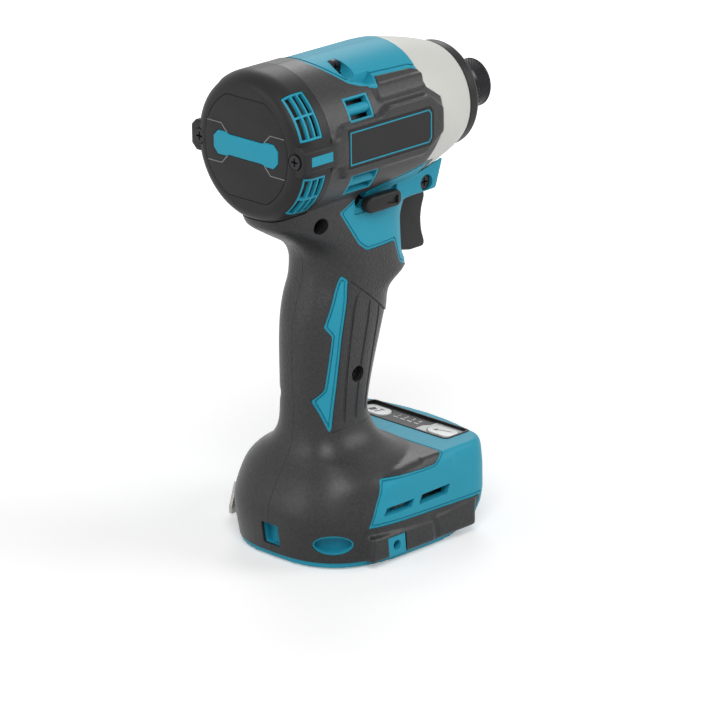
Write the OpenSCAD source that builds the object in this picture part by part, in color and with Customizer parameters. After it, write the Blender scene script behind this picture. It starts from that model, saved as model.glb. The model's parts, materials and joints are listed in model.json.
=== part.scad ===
// Cordless impact driver, in millimetres.
// +X points along the bit, +Y to the tool's left, +Z up.
// The origin lies on the middle plane, under the rear rim of the foot.

/* [Overall] */
// Height of the bit axis above the bottom of the foot
axis_z = 170; // [168:1:178]
// Distance from the back of the rear cover to the reference point
head_back = 12; // [10:0.5:14]
// Thickness of the soft grip layer
grip_t = 1.6; // [1.2:0.1:1.9]
// Wall of the hard shell under the grip layer
shell_t = 2.4; // [2:0.1:3]
// Wall of the barrel around the gear case
barrel_wall = 2.6; // [2.2:0.1:3.4]
// Gap between pieces that are fixed to each other
seat_gap = 0.3; // [0.2:0.05:0.35]

/* [Rear cover] */
// Length of the rear cover
cover_len = 16.6; // [16.2:0.1:18]
// Wall of the rear cover
cover_wall = 2.5; // [2.2:0.1:3]
// Radius of the plate on the back
plate_r = 22.5; // [21:0.5:23.5]
// Half height of the plate, to its flats
plate_flat = 20; // [18:0.5:21]
// Thickness of the plate on the back
plate_t = 1.5; // [1.2:0.1:1.8]
// Length of the rounded shoulder
shoulder_len = 8; // [6:0.5:10]
// Distance of the cover screws from the axis
lug_y = 26; // [25.6:0.1:27]
// Half height of a screw lug
lug_h = 6.2; // [5.5:0.1:7]

/* [Motor] */
// Radius of the stator core
stator_r = 23; // [22.5:0.1:23.6]
// Length of the stator core
stator_len = 17; // [15:0.5:18]
// Radius of the rotor core
rotor_r = 12.4; // [11.8:0.1:12.8]
// Gap between rotor and stator
air_gap = 0.5; // [0.4:0.05:0.7]
// Radius of the motor shaft
shaft_r = 2.5; // [2.2:0.1:2.7]
// Outer radius of the motor bearings
motor_bearing_r = 6.5; // [6:0.1:7]
// Width of the motor bearings
motor_bearing_w = 4; // [3.6:0.1:4.2]
// Radius of the fan
fan_r = 22; // [20:0.5:22.4]
// Width of the fan
fan_w = 6; // [5:0.1:6.4]

/* [Gears] */
// Gear module
gear_module = 0.7; // [0.68:0.01:0.74]
// Width of the ring gear
ring_w = 8; // [7:0.5:9]
// Radius of a planet pin
pin_r = 2; // [1.7:0.1:2.3]
// Wall of the gear case
gear_wall = 2; // [1.8:0.1:2.6]

/* [Hammer] */
// Radius of the hammer
hammer_r = 20; // [19.4:0.1:20.6]
// Length of the hammer without its jaws
hammer_len = 16.3; // [16:0.1:17]
// Radius of the spindle
spindle_r = 8; // [7.8:0.1:8.2]
// Radius of a cam ball
cam_ball_r = 2.75; // [2.6:0.05:2.85]
// How far the hammer draws back
retreat = 6; // [5.6:0.1:6.2]
// How far the hammer turns as it draws back, in degrees
retreat_turn = 40; // [36:1:42]
// Height of the jaws
jaw_h = 5; // [4.5:0.1:5.4]
// Width of the anvil's ears along the axis
ear_w = 5.7; // [5.2:0.1:6.2]
// Radius of the anvil's ears
ear_r = 15; // [14:0.5:16]

/* [Chuck] */
// Width across the flats of the bit socket
socket_af = 6.45; // [6.35:0.05:6.6]
// Depth of the bit socket
socket_depth = 17.5; // [16:0.5:18.5]
// Radius of the anvil in its bush
anvil_r = 7; // [6.8:0.1:7.2]
// Length of the anvil bush
bush_len = 8.5; // [7.5:0.5:9.5]
// Outer radius of the anvil bush
bush_r = 10; // [9.4:0.1:10.6]
// Outer radius of the bit sleeve
sleeve_r = 9.8; // [9.4:0.1:10.2]
// Length of the bit sleeve
sleeve_len = 20.6; // [20:0.1:22]
// Travel of the bit sleeve
sleeve_travel = 2.5; // [2:0.1:2.6]
// Radius of a bit locking ball
lock_ball_r = 2; // [1.9:0.05:2.1]
// Radius of the nose bumper
bumper_r = 21.3; // [20.5:0.1:21.6]
// Length of the nose bumper
bumper_len = 5.4; // [4.5:0.1:5.8]

/* [Handle] */
// Half width of the handle at its narrowest
handle_hw = 15.6; // [15.2:0.1:17]
// Depth of the handle above the foot
handle_low_d = 34; // [33:0.5:38]
// Depth of the handle in the palm
handle_mid_d = 44; // [41:0.5:46]
// Depth of the handle behind the trigger
handle_top_d = 42.5; // [41:0.5:46]
// Half width of the handle behind the trigger
neck_hw = 17.6; // [17:0.1:19]
// Forward lean of the handle's back, from foot to trigger
handle_lean = 6.5; // [4.5:0.5:8]

/* [Trigger] */
// Half width of the trigger
trigger_hw = 8; // [7:0.1:8.6]
// Height of the trigger
trigger_h = 22.5; // [21:0.1:23]
// Height of the trigger's lower end
trigger_z = 112; // [111:0.5:113]
// How far the trigger stands out of the handle
trigger_out = 21; // [19:0.5:23]
// Travel of the trigger
trigger_travel = 6.5; // [5:0.1:7]

/* [Foot] */
// Length of the foot, rear rim to front
foot_len = 90.5; // [89:0.5:95]
// Half width of the foot
foot_hw = 38; // [37:0.5:40]
// Height of the foot's deck
deck_z = 38; // [36.5:0.5:40]
// Height of the hard rim under the grip layer
rim_h = 2.7; // [2:0.1:3.4]
// Radius of the foot's front corners
foot_corner = 12; // [9:0.5:14]
// Height of the pack slot
slot_h = 13; // [12:0.1:14]
// Half width of the pack slot between its walls
slot_hw = 31; // [30:0.1:31.6]
// Half width of the pack slot between its rails
rail_hw = 27.5; // [26.5:0.1:28.5]
// Height of the rails
rail_h = 4; // [3.4:0.1:4.6]

/* [Panel] */
// Half width of the mode panel
panel_hw = 27.4; // [26.5:0.1:28.5]
// Depth of the mode panel, front to back
panel_d = 14.8; // [13.5:0.1:16]
// How far the panel lies below the deck
panel_sink = 1.2; // [1:0.1:1.6]
// Half length of a button
button_hl = 7.2; // [6:0.1:7.8]
// Half width of a button
button_hw = 4; // [3.2:0.1:4.6]
// Travel of a button
button_travel = 0.6; // [0.4:0.1:0.8]

/* [Belt hook] */
// Thickness of the hook's steel strip
hook_t = 1.6; // [1.2:0.1:2]
// Width of the hook's strip
hook_w = 12.4; // [11:0.2:13]
// Length of the hook's outer leg
hook_leg = 24.5; // [22:0.5:30]
// Gap between hook and foot
hook_gap = 4.6; // [4:0.1:6]
// Nominal radius of the hook screw's thread
hook_thread_r = 2; // [1.5:0.1:2.5]

/* [Hidden] */
$fn = 48;

// Small sizes that several pieces share
overrun = 1;
run_gap = 0.05;
slide_gap = 0.25;
trim_gap = 0.15;
span = 2 * axis_z;
reach = axis_z / 4;

// Colours
teal = [0.2, 0.62, 0.72];
black = [0.22, 0.22, 0.22];
pale = [0.8, 0.8, 0.78];
steel = [0.62, 0.62, 0.64];
dark_steel = [0.25, 0.25, 0.26];
copper = [0.72, 0.42, 0.22];
brass = [0.78, 0.64, 0.3];
white = [0.92, 0.92, 0.92];
board_green = [0.1, 0.35, 0.2];

// Chain of places along the bit axis
stator_set = 3.4;
coil_over = 3;
board_t = 1.2;
gear_plate_t = 4.6;
ring_gap = 0.4;
flange_w = 5.5;
retreat_room = 9.7;
jaw_gap = 0.5;
cowl_over = 14.7;
lobe_reach = 4.3;
back_t = plate_t + cover_wall;
rear_x = -head_back;
seam_x = rear_x + cover_len;
stator_x = seam_x + stator_set;
board_x = stator_x + stator_len + coil_over + seat_gap;
gear_x = board_x + board_t + seat_gap;
ring_x = gear_x + gear_plate_t;
flange_x = ring_x + ring_w + ring_gap;
case_x = flange_x + flange_w;
hammer_x = case_x + retreat_room;
hammer_front = hammer_x + hammer_len;
ear_x = hammer_front + jaw_gap;
bush_x = ear_x + ear_w + jaw_gap;
nose_x = bush_x + bush_len;
cowl_x = case_x + cowl_over;
lobe_x = cowl_x + lobe_reach;
cowl_len = cowl_x - rear_x;
rear_bearing_x = rear_x + back_t;
fan_gap = 1;
fan_x = rear_bearing_x + motor_bearing_w + fan_gap;

// Gears
sun_teeth = 12;
planet_teeth = 24;
sun_r = gear_module * sun_teeth / 2;
planet_r = gear_module * planet_teeth / 2;
gear_centre = sun_r + planet_r;
ring_teeth = sun_teeth + 2 * planet_teeth;
ring_r = gear_centre + planet_r;
addendum_share = 0.8;
dedendum_share = 1;
pressure_angle = 20;
backlash = 0.12;
ring_rim = 1.8;
ring_outer_r = ring_r + gear_module * dedendum_share + ring_rim;
gear_case_r = ring_outer_r + gear_wall;
planet_side = 0.4;
planet_w = ring_w - 2 * planet_side;
planet_angles = [90, 210, 330];
flange_edge = 2.9;
flange_r = gear_centre + pin_r + flange_edge;

// Barrel
barrel_r = gear_case_r + seat_gap + barrel_wall + grip_t;
shoulder_lip = 1;
pad_rise = 0.6;
name_t = 0.5;

// Height stations of the column: foot, dome, handle, neck
foot_rear = -1.5;
foot_swell = 2.5;
foot_swell_z = 18;
handle_low_z = 58;
handle_mid_z = 93;
handle_top_z = 116;
handle_back = 10.7;

// A half plane on one side of the middle plane: -1 is the right, 1 the left
module half(side) {
    translate([-span, side < 0 ? -span : 0, -span]) cube([2 * span, span, 2 * span]);
}

// Turns a shape built along +Z to run along the bit axis from x
module axial(x) {
    translate([x, 0, axis_z]) rotate([0, 90, 0]) children();
}

// A ring around the bit axis
module tube_x(x, len, ro, ri) {
    axial(x) difference() {
        cylinder(h = len, r = ro);
        translate([0, 0, -overrun]) cylinder(h = len + 2 * overrun, r = ri);
    }
}

// A profile of [radius, x] points turned around the bit axis
module turned(points) {
    translate([0, 0, axis_z]) rotate([0, 90, 0]) rotate_extrude() polygon(points);
}

// Part of a turned profile between two angles above the horizontal
module turned_part(points, low, high, side) {
    mirror([0, side < 0 ? 0 : 1, 0])
    translate([0, 0, axis_z]) rotate([0, 90, 0]) rotate([0, 0, -90 - high])
    rotate_extrude(angle = high - low) polygon(points);
}

// An outline in the XZ plane pushed out along Y, centred on the middle plane
module side_prism(points, width) {
    translate([0, width / 2, 0]) rotate([90, 0, 0]) linear_extrude(width) polygon(points);
}

// The same for a body that is drawn in by an inset, its outline drawn in as well
module slab(points, hw, inset, draw) {
    translate([0, hw - inset, 0]) rotate([90, 0, 0])
        linear_extrude(2 * (hw - inset)) offset(delta = -draw) polygon(points);
}

// A cylinder along Y, from y to y + len
module cross_cyl(x, y, z, len, r) {
    translate([x, y, z]) rotate([-90, 0, 0]) cylinder(h = len, r = r);
}

// A box given by its lowest and highest corners
module block(low, high) {
    translate(low) cube(high - low);
}

// Skin through rings of points that all have the same count
module loft(rings) {
    n = len(rings[0]);
    m = len(rings);
    points = [for (ring = rings) for (p = ring) p];
    low_cap = [[for (i = [0:n - 1]) i]];
    high_cap = [[for (i = [n - 1:-1:0]) (m - 1) * n + i]];
    sides = [
        for (j = [0:m - 2]) for (i = [0:n - 1]) for (k = [0, 1])
            let (a = j * n + i, b = j * n + (i + 1) % n)
            k == 0 ? [a, b + n, b] : [a, a + n, b + n]
    ];
    polyhedron(points = points, faces = concat(low_cap, high_cap, sides));
}

// Tube swept along a list of points; every section is a polygon square to the path
function unit(v) = v / norm(v);
function path_dir(path, i) = unit(path[min(i + 1, len(path) - 1)] - path[max(i - 1, 0)]);
function path_side(d) = unit(abs(d[2]) > 0.9 ? cross(d, [0, 1, 0]) : cross(d, [0, 0, 1]));
module swept(path, r, sides, start_dir = undef, end_dir = undef) {
    loft([
        for (i = [0:len(path) - 1])
            let (
                d = i == 0 && start_dir ? start_dir
                    : i == len(path) - 1 && end_dir ? end_dir : path_dir(path, i),
                u = path_side(d),
                v = cross(d, u)
            )
            [for (k = [0:sides - 1]) path[i] + r * (cos(360 * k / sides) * u + sin(360 * k / sides) * v)]
    ]);
}

turn_steps = 8;
// Helical spring along +X, with its two end points on the ends
module spring_x(x, len, r, wire_r, turns, sides) {
    steps = turns * turn_steps;
    loft([
        for (i = [0:steps])
            let (
                t = i / steps,
                a = 360 * turns * t,
                c = [x + wire_r + t * (len - 2 * wire_r), r * cos(a), axis_z + r * sin(a)],
                out = [0, cos(a), sin(a)]
            )
            [for (k = [0:sides - 1])
                c + wire_r * (cos(360 * k / sides) * out - sin(360 * k / sides) * [1, 0, 0])]
    ]);
}

// Cubic interpolation in a table of [key, value] rows
function row_at(t, table, i = 0) =
    i >= len(table) - 2 || t < table[i + 1][0] ? i : row_at(t, table, i + 1);
function slope_at(table, i) =
    let (a = max(i - 1, 0), b = min(i + 1, len(table) - 1))
    (table[b][1] - table[a][1]) / (table[b][0] - table[a][0]);
function smooth_at(t, table) =
    let (
        i = row_at(t, table),
        h = table[i + 1][0] - table[i][0],
        u = (t - table[i][0]) / h
    )
    table[i][1] * (2 * u * u * u - 3 * u * u + 1)
    + slope_at(table, i) * h * (u * u * u - 2 * u * u + u)
    + table[i + 1][1] * (3 * u * u - 2 * u * u * u)
    + slope_at(table, i + 1) * h * (u * u * u - u * u);

// Column of foot, dome, handle and neck, by height
dome_z_shares = [0.66, 0.87, 1.02, 1.14, 1.3];
dome_rear_shares = [0.1, 0.4, 0.68, 0.86, 0.97];
dome_width_shares = [0.03, 0.13, 0.45, 0.77, 0.95];
dome_front_shares = [0, 0.2, 0.72, 0.9, 0.98];
neck_low_z_share = 0.765;
neck_z_share = 0.8;
neck_top_z_share = 0.88;
tail_z_shares = [0.733, 0.779, 0.812];
tail_low_share = 0.09;
tail_back_share = 0.168;
tail_high_share = 0.056;
neck_top_back_share = 0.0153;
lip_z = 109.6;
lip_reach = 5;
lip_root_z = 103.6;
lip_root_share = 0.25;
neck_front_share = 0.25;
handle_top_x = handle_back + handle_lean;
mid_lean_share = 0.05;
handle_mid_x = handle_back + handle_lean * mid_lean_share;
column_front_share = 0.975;
column_front = foot_rear + foot_len * column_front_share;
rear_rows = concat(
    [[0, foot_rear], [foot_swell_z, foot_rear - foot_swell]],
    [for (i = [0:4]) [deck_z * dome_z_shares[i],
        foot_rear - foot_swell + (handle_back - foot_rear + foot_swell) * dome_rear_shares[i]]],
    [[handle_low_z, handle_back], [handle_mid_z, handle_mid_x], [handle_top_z, handle_top_x],
     [axis_z * tail_z_shares[0], handle_top_x - handle_top_d * tail_low_share],
     [axis_z * tail_z_shares[1], rear_x + cowl_len * tail_back_share],
     [axis_z * tail_z_shares[2], rear_x + cowl_len * tail_high_share],
     [axis_z * neck_top_z_share, rear_x + cowl_len * neck_top_back_share]]
);
front_rows = concat(
    [[0, column_front], [foot_swell_z, column_front]],
    [for (i = [0:4]) [deck_z * dome_z_shares[i],
        column_front + (handle_back + handle_low_d - column_front) * dome_front_shares[i]]],
    [[handle_low_z, handle_back + handle_low_d], [handle_mid_z, handle_mid_x + handle_mid_d],
     [lip_root_z, handle_mid_x + handle_mid_d
        + (handle_top_x + handle_top_d - handle_mid_x - handle_mid_d) * lip_root_share],
     [lip_z, handle_top_x + handle_top_d + lip_reach],
     [handle_top_z, handle_top_x + handle_top_d + lip_reach / 2],
     [axis_z * neck_low_z_share, handle_top_x + handle_top_d + lip_reach / 2],
     [axis_z * neck_z_share, handle_top_x + handle_top_d * (1 + neck_front_share / 2)],
     [axis_z * neck_top_z_share, handle_top_x + handle_top_d * (1 + neck_front_share)]]
);
width_rows = concat(
    [[0, foot_hw - foot_swell / 2], [foot_swell_z, foot_hw]],
    [for (i = [0:4]) [deck_z * dome_z_shares[i],
        foot_hw + (handle_hw - foot_hw) * dome_width_shares[i]]],
    [[handle_low_z, handle_hw], [handle_mid_z, (handle_hw + neck_hw) / 2], [handle_top_z, neck_hw],
     [axis_z * neck_low_z_share, neck_hw], [axis_z * neck_z_share, neck_hw],
     [axis_z * neck_top_z_share, neck_hw]]
);
foot_square = 2.75;
handle_square = 2.5;
neck_square = 3.2;
square_rows = [[0, foot_square], [foot_swell_z, foot_square], [handle_low_z, handle_square],
    [handle_mid_z, handle_square], [handle_top_z, neck_square], [axis_z, neck_square]];
back_square_rows = [[0, foot_square], [foot_swell_z, foot_square], [handle_low_z, handle_square],
    [handle_mid_z, handle_square], [axis_z, handle_square]];

// An inset wall is read from further along the slope, so that level stretches keep their thickness
function slope_side(z) = max(-1, min(1, (handle_mid_z - z) / (handle_mid_z - handle_low_z)));
function column_ring(z, inset, count) =
    let (
        h = min(axis_z * neck_top_z_share, z + inset * slope_side(z)),
        back = smooth_at(h, rear_rows) + inset,
        front = smooth_at(h, front_rows) - inset,
        hw = smooth_at(h, width_rows) - inset,
        cx = (back + front) / 2,
        hl = (front - back) / 2
    )
    [for (k = [0:count - 1])
        let (
            a = 360 * k / count,
            p = 2 / smooth_at(h, cos(a) < 0 ? back_square_rows : square_rows)
        )
        [cx + hl * sign(cos(a)) * pow(abs(cos(a)), p), hw * sign(sin(a)) * pow(abs(sin(a)), p), z]];

module column(low, high, inset, steps, count) {
    loft([for (i = [0:steps]) column_ring(low + (high - low) * i / steps, inset, count)]);
}

// Front block of the foot that carries the mode panel
console_low = 5.5;
console_bulge = 3.3;
console_back_share = 0.5;
console_z_shares = [0, 0.42, 0.89, 1];
console_in_shares = [1, 0, 0.1, 0.5];
function console_ring(z, inset) =
    let (
        front = foot_rear + foot_len - console_bulge,
        cx = front - foot_corner,
        cy = foot_hw - foot_corner,
        r = foot_corner - inset,
        back = foot_rear + foot_len * console_back_share
    )
    concat(
        [[back, -foot_hw + inset, z]],
        [for (a = [-90:22.5:-22.5]) [cx + r * cos(a), -cy + r * sin(a), z]],
        [for (k = [-1:0.5:1]) [front - inset + console_bulge * (1 - k * k), cy * k, z]],
        [for (a = [22.5:22.5:90]) [cx + r * cos(a), cy + r * sin(a), z]],
        [[back, foot_hw - inset, z]]
    );
module console(low, high, inset) {
    heights = [for (s = console_z_shares) low + (high - low) * s];
    loft([for (i = [0:3]) console_ring(heights[i], inset + console_low * console_in_shares[i])]);
}

// Raised blocks low on the foot's sides, around the hook inserts
skirt_rise = 0.8;
skirt_shares = [[0.18, 0.05], [0.575, 0.05], [0.56, 0.3], [0.19, 0.34]];
module skirts(inset) {
    slab([for (s = skirt_shares) foot_point(s)], foot_hw + skirt_rise, inset, inset);
}

// Barrel of the head ahead of the rear cover, without its front cut
cowl_drop_shares = [1, 1, 0.993, 0.978, 0.94];
cowl_place_shares = [0, 0.88, 0.95, 1, 1.06];
module barrel(inset) {
    outer = [for (i = [1:4])
        [barrel_r * cowl_drop_shares[i] - inset, rear_x + cowl_len * cowl_place_shares[i]]];
    back = seam_x - overrun;
    turned(concat([[0, back], [barrel_r - inset, back]], outer,
        [[0, rear_x + cowl_len * cowl_place_shares[4]]]));
}

// Flat pads on the barrel's sides
pad_shares = [[0.3, -0.36], [0.9, -0.36], [1.035, -0.12], [1.035, 0.2], [0.93, 0.42], [0.3, 0.42]];
pad_face_share = 0.95;
pad_bevel = 0.8;
function cowl_point(s) = [rear_x + cowl_len * s[0], axis_z + barrel_r * s[1]];
module pads(inset) {
    outline = [for (s = pad_shares) cowl_point(s)];
    hull() {
        slab(outline, (barrel_r + pad_rise) * pad_face_share, inset, inset);
        slab(outline, barrel_r + pad_rise, inset, inset + pad_bevel);
    }
}

// What the hammer case shows of the head: all that lies ahead of the barrel's front edge
front_cut_shares = [[0.967, 1.4], [0.966, 0.87], [0.955, 0.667], [0.935, 0.567], [0.945, 0.5]];
lobe_z_shares = [0.3, 0.033, -0.16];
lobe_back_shares = [0, 0, 0.25];
low_cut_shares = [[0.963, -0.537], [0.963, -1.4], [1.4, -1.4], [1.4, 1.4]];
front_cut = concat(
    [for (s = front_cut_shares) cowl_point(s)],
    [for (i = [0:2]) [lobe_x - lobe_reach * lobe_back_shares[i], axis_z + barrel_r * lobe_z_shares[i]]],
    [for (s = low_cut_shares) cowl_point(s)]
);

// Chin under the hammer case, above the trigger
chin_hw = 16.5;
chin_shares = [[0.75, 0.92], [1.225, 0.893], [1.232, 0.875], [1.178, 0.806], [0.75, 0.802]];
function body_point(s) = [rear_x + cowl_len * s[0], axis_z * s[1]];
module chin(inset) {
    slab([for (s = chin_shares) body_point(s)], chin_hw, inset, inset);
}

// Outer radius of the hammer case along the axis
case_x_shares = [0, 0.07, 0.2, 0.36, 0.52, 0.68, 0.82, 0.93, 1];
case_r_shares = [0.92, 0.963, 0.945, 0.91, 0.873, 0.83, 0.787, 0.745, 0.712];
case_start_share = 0.94;
case_start = rear_x + cowl_len * case_start_share;
case_outline = [for (i = [0:8])
    [barrel_r * case_r_shares[i], case_start + (nose_x - case_start) * case_x_shares[i]]];
module case_room() {
    turned(concat([[0, case_start]],
        [for (p = case_outline) [p[0] + seat_gap, p[1]]], [[0, nose_x]]));
}

// The whole outer body, drawn in by an inset; one that is taken away runs over at the head's ends
column_count = 36;
column_steps = 26;
module body(inset, over = 0) {
    difference() {
        union() {
            difference() {
                union() {
                    barrel(inset);
                    pads(inset);
                }
                translate([over, 0, 0]) side_prism(front_cut, span);
            }
            difference() {
                union() {
                    column(0, axis_z * neck_top_z_share, inset, column_steps, column_count);
                    chin(inset);
                }
                case_room();
            }
            console(0, deck_z - inset, inset);
            skirts(inset);
        }
        if (over == 0) axial(rear_x - overrun) cylinder(h = cover_len + overrun, r = barrel_r + seat_gap);
    }
}

// Zones where the hard shell comes to the surface
top_zone_shares = [[0.355, 1.3], [0.355, 0.99], [0.472, 0.743], [0.541, 0.68], [0.6, 0.66],
    [0.635, 0.74], [0.92, 0.717], [0.955, 0.683], [1.1, 0.683], [1.1, 1.3]];
grip_zone_shares = [[0.431, 0.827], [0.624, 0.868], [0.963, 0.905], [1.4, 0.93], [1.4, 0.77]];
grip_leg_shares = [[1.04, 0.77], [1.068, 0.644], [0.93, 0.644], [0.794, 0.66], [0.76, 0.72], [0.427, 0.718],
    [0.369, 0.739]];
accent_shares = [[0.149, 0.67], [0.215, 0.656], [0.283, 0.524], [0.269, 0.417], [0.217, 0.307],
    [0.181, 0.298], [0.041, 0.376], [0.139, 0.402], [0.184, 0.529], [0.11, 0.552], [0.134, 0.615]];
foot_zone_shares = [[0.196, 0.424], [0.29, 0.903], [0.586, 0.913], [0.643, 1], [0.646, 1.3], [1.2, 1.3],
    [1.2, -0.2], [0.82, -0.2], [0.82, 0.071], [0.865, 0.392]];
function handle_point(s) =
    let (z = axis_z * s[1], back = smooth_at(z, rear_rows), front = smooth_at(z, front_rows))
    [back + (front - back) * s[0], z];
function foot_point(s) = [foot_rear + foot_len * s[0], deck_z * s[1]];
module hard_zones() {
    side_prism([for (s = top_zone_shares) cowl_point(s)], span);
    side_prism(concat([for (s = grip_zone_shares) body_point(s)],
        [for (s = grip_leg_shares) handle_point(s)]), span);
    side_prism([for (s = accent_shares) handle_point(s)], span);
    side_prism([for (s = foot_zone_shares) foot_point(s)], span);
    block([-span, -span, -overrun], [span, span, rim_h]);
}

// Screws that join the two halves: [x, z] of each
screw_r = 1.5;
screw_head_r = 2.9;
screw_head_h = 2.2;
screw_lens = [15, 8, 3.5, 14, 20];
screw_boss_r = 3.6;
screw_spot_shares = [[0.515, 1.153], [1.09, 0.8318], [0.588, 0.8435], [0.313, 0.806], [0.577, 0.423]];
screw_seat_y = [7.5, 12.5, 11.5, 7, 10];
screw_spots = [for (s = screw_spot_shares) body_point(s)];
module screw_holes() {
    for (i = [0:4]) {
        p = screw_spots[i];
        cross_cyl(p[0], -screw_seat_y[i] - overrun, p[1], screw_lens[i] + overrun, screw_r + slide_gap);
        hull() {
            cross_cyl(p[0], -span, p[1], span - screw_seat_y[i], screw_head_r + slide_gap);
            cross_cyl(p[0], -span, p[1] + slide_gap, span - screw_seat_y[i], screw_head_r + slide_gap);
        }
    }
}
module screw_bosses() {
    for (i = [2, 4]) difference() {
        cross_cyl(screw_spots[i][0], -screw_seat_y[i] - screw_head_h - shell_t / 2, screw_spots[i][1],
            screw_head_h + screw_lens[i] + shell_t * 3 / 2, screw_boss_r);
        axial(seam_x) cylinder(h = span, r = gear_case_r + seat_gap);
    }
}

// Vent windows of the barrel: [x share low, x share high, angle low, angle high]
intake_shares = [[0.373, 0.547, 19, 38], [0.387, 0.587, -43, -22]];
intake_t = 3;
intake_bar = 1.2;
intake_slot_shares = [[0.143, 0.429], [0.571, 0.857]];
intake_over = 1.2;
module intake_windows() {
    for (side = [-1, 1]) for (v = intake_shares) {
        x0 = rear_x + cowl_len * v[0];
        x1 = rear_x + cowl_len * v[1];
        outer = barrel_r + intake_over;
        turned_part([[stator_r, x0], [outer, x0], [outer, x1], [stator_r, x1]], v[2], v[3], side);
    }
}

// Trigger slot, lever slots and lamp pocket in the front of the handle
trigger_slot_back_share = 0.56;
trigger_slot_x = handle_top_x + handle_top_d * trigger_slot_back_share;
trigger_front = handle_top_x + handle_top_d + trigger_out - trigger_travel / 2;
lever_z = 141.3;
lever_h = 6.6;
lever_x = 41;
lever_len = 19;
lever_room = 2.6;
lever_reach = 4;
lever_arm_t = 3.2;
lever_pivot_r = 2;
lever_pivot_x = 28.5;
lamp_hw = 4;
lamp_h = 2.4;
lamp_d = 2.8;
lamp_x_share = 1.19;
lamp_z_share = 0.83;
lamp_x = rear_x + cowl_len * lamp_x_share;
lamp_z = axis_z * lamp_z_share;
module front_slots() {
    block([trigger_slot_x, -trigger_hw - slide_gap, trigger_z - slide_gap],
        [trigger_front + span, trigger_hw + slide_gap, trigger_z + trigger_h + 2 * slide_gap]);
    block([lever_x - lever_len / 2 - lever_room, -span, lever_z - lever_h / 2 - slide_gap],
        [lever_x + lever_len / 2 + lever_room, span, lever_z + lever_h / 2 + slide_gap]);
    block([lamp_x - lamp_d, -lamp_hw - trim_gap, lamp_z - lamp_h / 2 - trim_gap],
        [lamp_x + lamp_d, lamp_hw + trim_gap, lamp_z + lamp_h / 2 + trim_gap]);
}

// Pack slot, vents, pockets and panel recess in the foot
slot_back = 6;
slot_corner = 14;
ceiling_t = 2.5;
cavity_z = slot_h + ceiling_t;
terminal_x = 8;
terminal_len = 28;
terminal_hw = 17;
terminal_z = 5.5;
terminal_top = 20;
foot_vent_shares = [[0.288, 0.448, 0.52, 0.6], [0.492, 0.667, 0.526, 0.625]];
rear_pocket_hw = 4.6;
rear_pocket_y = -0.3;
rear_pocket_z = 10.6;
oval_r = 3.6;
oval_hl = 3.7;
oval_depth = 3;
oval_z = 10.5;
oval_x = 4.6;
oval_y = -27.2;
hook_x = 28.8;
hook_z = 7.1;
insert_hw = 5.3;
insert_t = 3;
insert_sink = 0.4;
panel_set = 6.2;
panel_x = foot_rear + foot_len - panel_set - panel_d;
panel_t = 1.9;
panel_ledge = 1.2;
panel_room = 17;
module slot_outline(hw) {
    polygon([[span, -hw], [slot_back + slot_corner, -hw], [slot_back, -hw / 2],
        [slot_back, hw / 2], [slot_back + slot_corner, hw], [span, hw]]);
}
module foot_cuts() {
    translate([0, 0, rail_h]) linear_extrude(slot_h - rail_h) slot_outline(slot_hw);
    translate([0, 0, -overrun]) linear_extrude(slot_h + overrun) slot_outline(rail_hw);
    block([terminal_x - trim_gap, -terminal_hw - trim_gap, slot_h - overrun],
        [terminal_x + terminal_len + trim_gap, terminal_hw + trim_gap, cavity_z + overrun]);
    for (side = [-1, 1]) for (v = foot_vent_shares) {
        low = foot_point([v[0], v[2]]);
        high = foot_point([v[1], v[3]]);
        hull() for (x = [low[0] + trim_gap, high[0] - trim_gap])
            translate([x - trim_gap, side < 0 ? -span : foot_hw - reach, low[1]])
                cube([2 * trim_gap, span - foot_hw + reach, high[1] - low[1]]);
    }
    block([-span, rear_pocket_y - rear_pocket_hw, rear_pocket_z - rear_pocket_hw],
        [foot_rear + foot_swell + trim_gap, rear_pocket_y + rear_pocket_hw,
            rear_pocket_z + rear_pocket_hw]);
    translate([oval_x, oval_y, oval_z]) rotate([0, 0, 45]) hull() for (s = [-1, 1])
        translate([-oval_depth, s * oval_hl, 0]) rotate([0, 90, 0])
            cylinder(h = 2 * oval_depth, r = oval_r);
    for (side = [-1, 1])
        mirror([0, side < 0 ? 0 : 1, 0])
            block([hook_x - insert_hw - trim_gap, -span, hook_z - insert_hw - trim_gap],
                [hook_x + insert_hw + trim_gap, trim_gap - insert_y, hook_z + insert_hw + trim_gap]);
    block([panel_x, -panel_hw, deck_z - panel_sink - panel_t - trim_gap],
        [panel_x + panel_d, panel_hw, deck_z + overrun]);
    block([panel_x + panel_ledge, -panel_hw + panel_ledge, deck_z - panel_room],
        [panel_x + panel_d - panel_ledge, panel_hw - panel_ledge, deck_z]);
}

// Room inside the halves
cavity_count = 20;
cavity_steps = 11;
module cavity() {
    inset = grip_t + shell_t;
    axial(seam_x - overrun) cylinder(h = gear_x - seam_x, r = stator_r + seat_gap);
    axial(gear_x - seat_gap - overrun) cylinder(h = span, r = gear_case_r + seat_gap);
    column(cavity_z, axis_z * neck_top_z_share - overrun, inset, cavity_steps, cavity_count);
    console(cavity_z, deck_z - inset, inset);
}

// Lengthwise ribs of the palm panel, as grooves between them
groove_r = 0.9;
groove_sides = 8;
groove_depth_shares = [0.44, 0.55, 0.66, 0.77];
groove_low_share = 0.325;
groove_top_shares = [0.622, 0.603, 0.583, 0.56];
module grip_grooves() {
    for (side = [-1, 1]) for (i = [0:3]) hull() for (h = [groove_low_share, groove_top_shares[i]]) {
        p = handle_point([groove_depth_shares[i], h]);
        z = axis_z * h;
        hw = smooth_at(z, width_rows);
        u = 2 * groove_depth_shares[i] - 1;
        q = smooth_at(z, square_rows);
        translate([p[0], side * hw * pow(1 - pow(abs(u), q), 1 / q), z])
            sphere(r = groove_r, $fn = groove_sides);
    }
}

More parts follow.
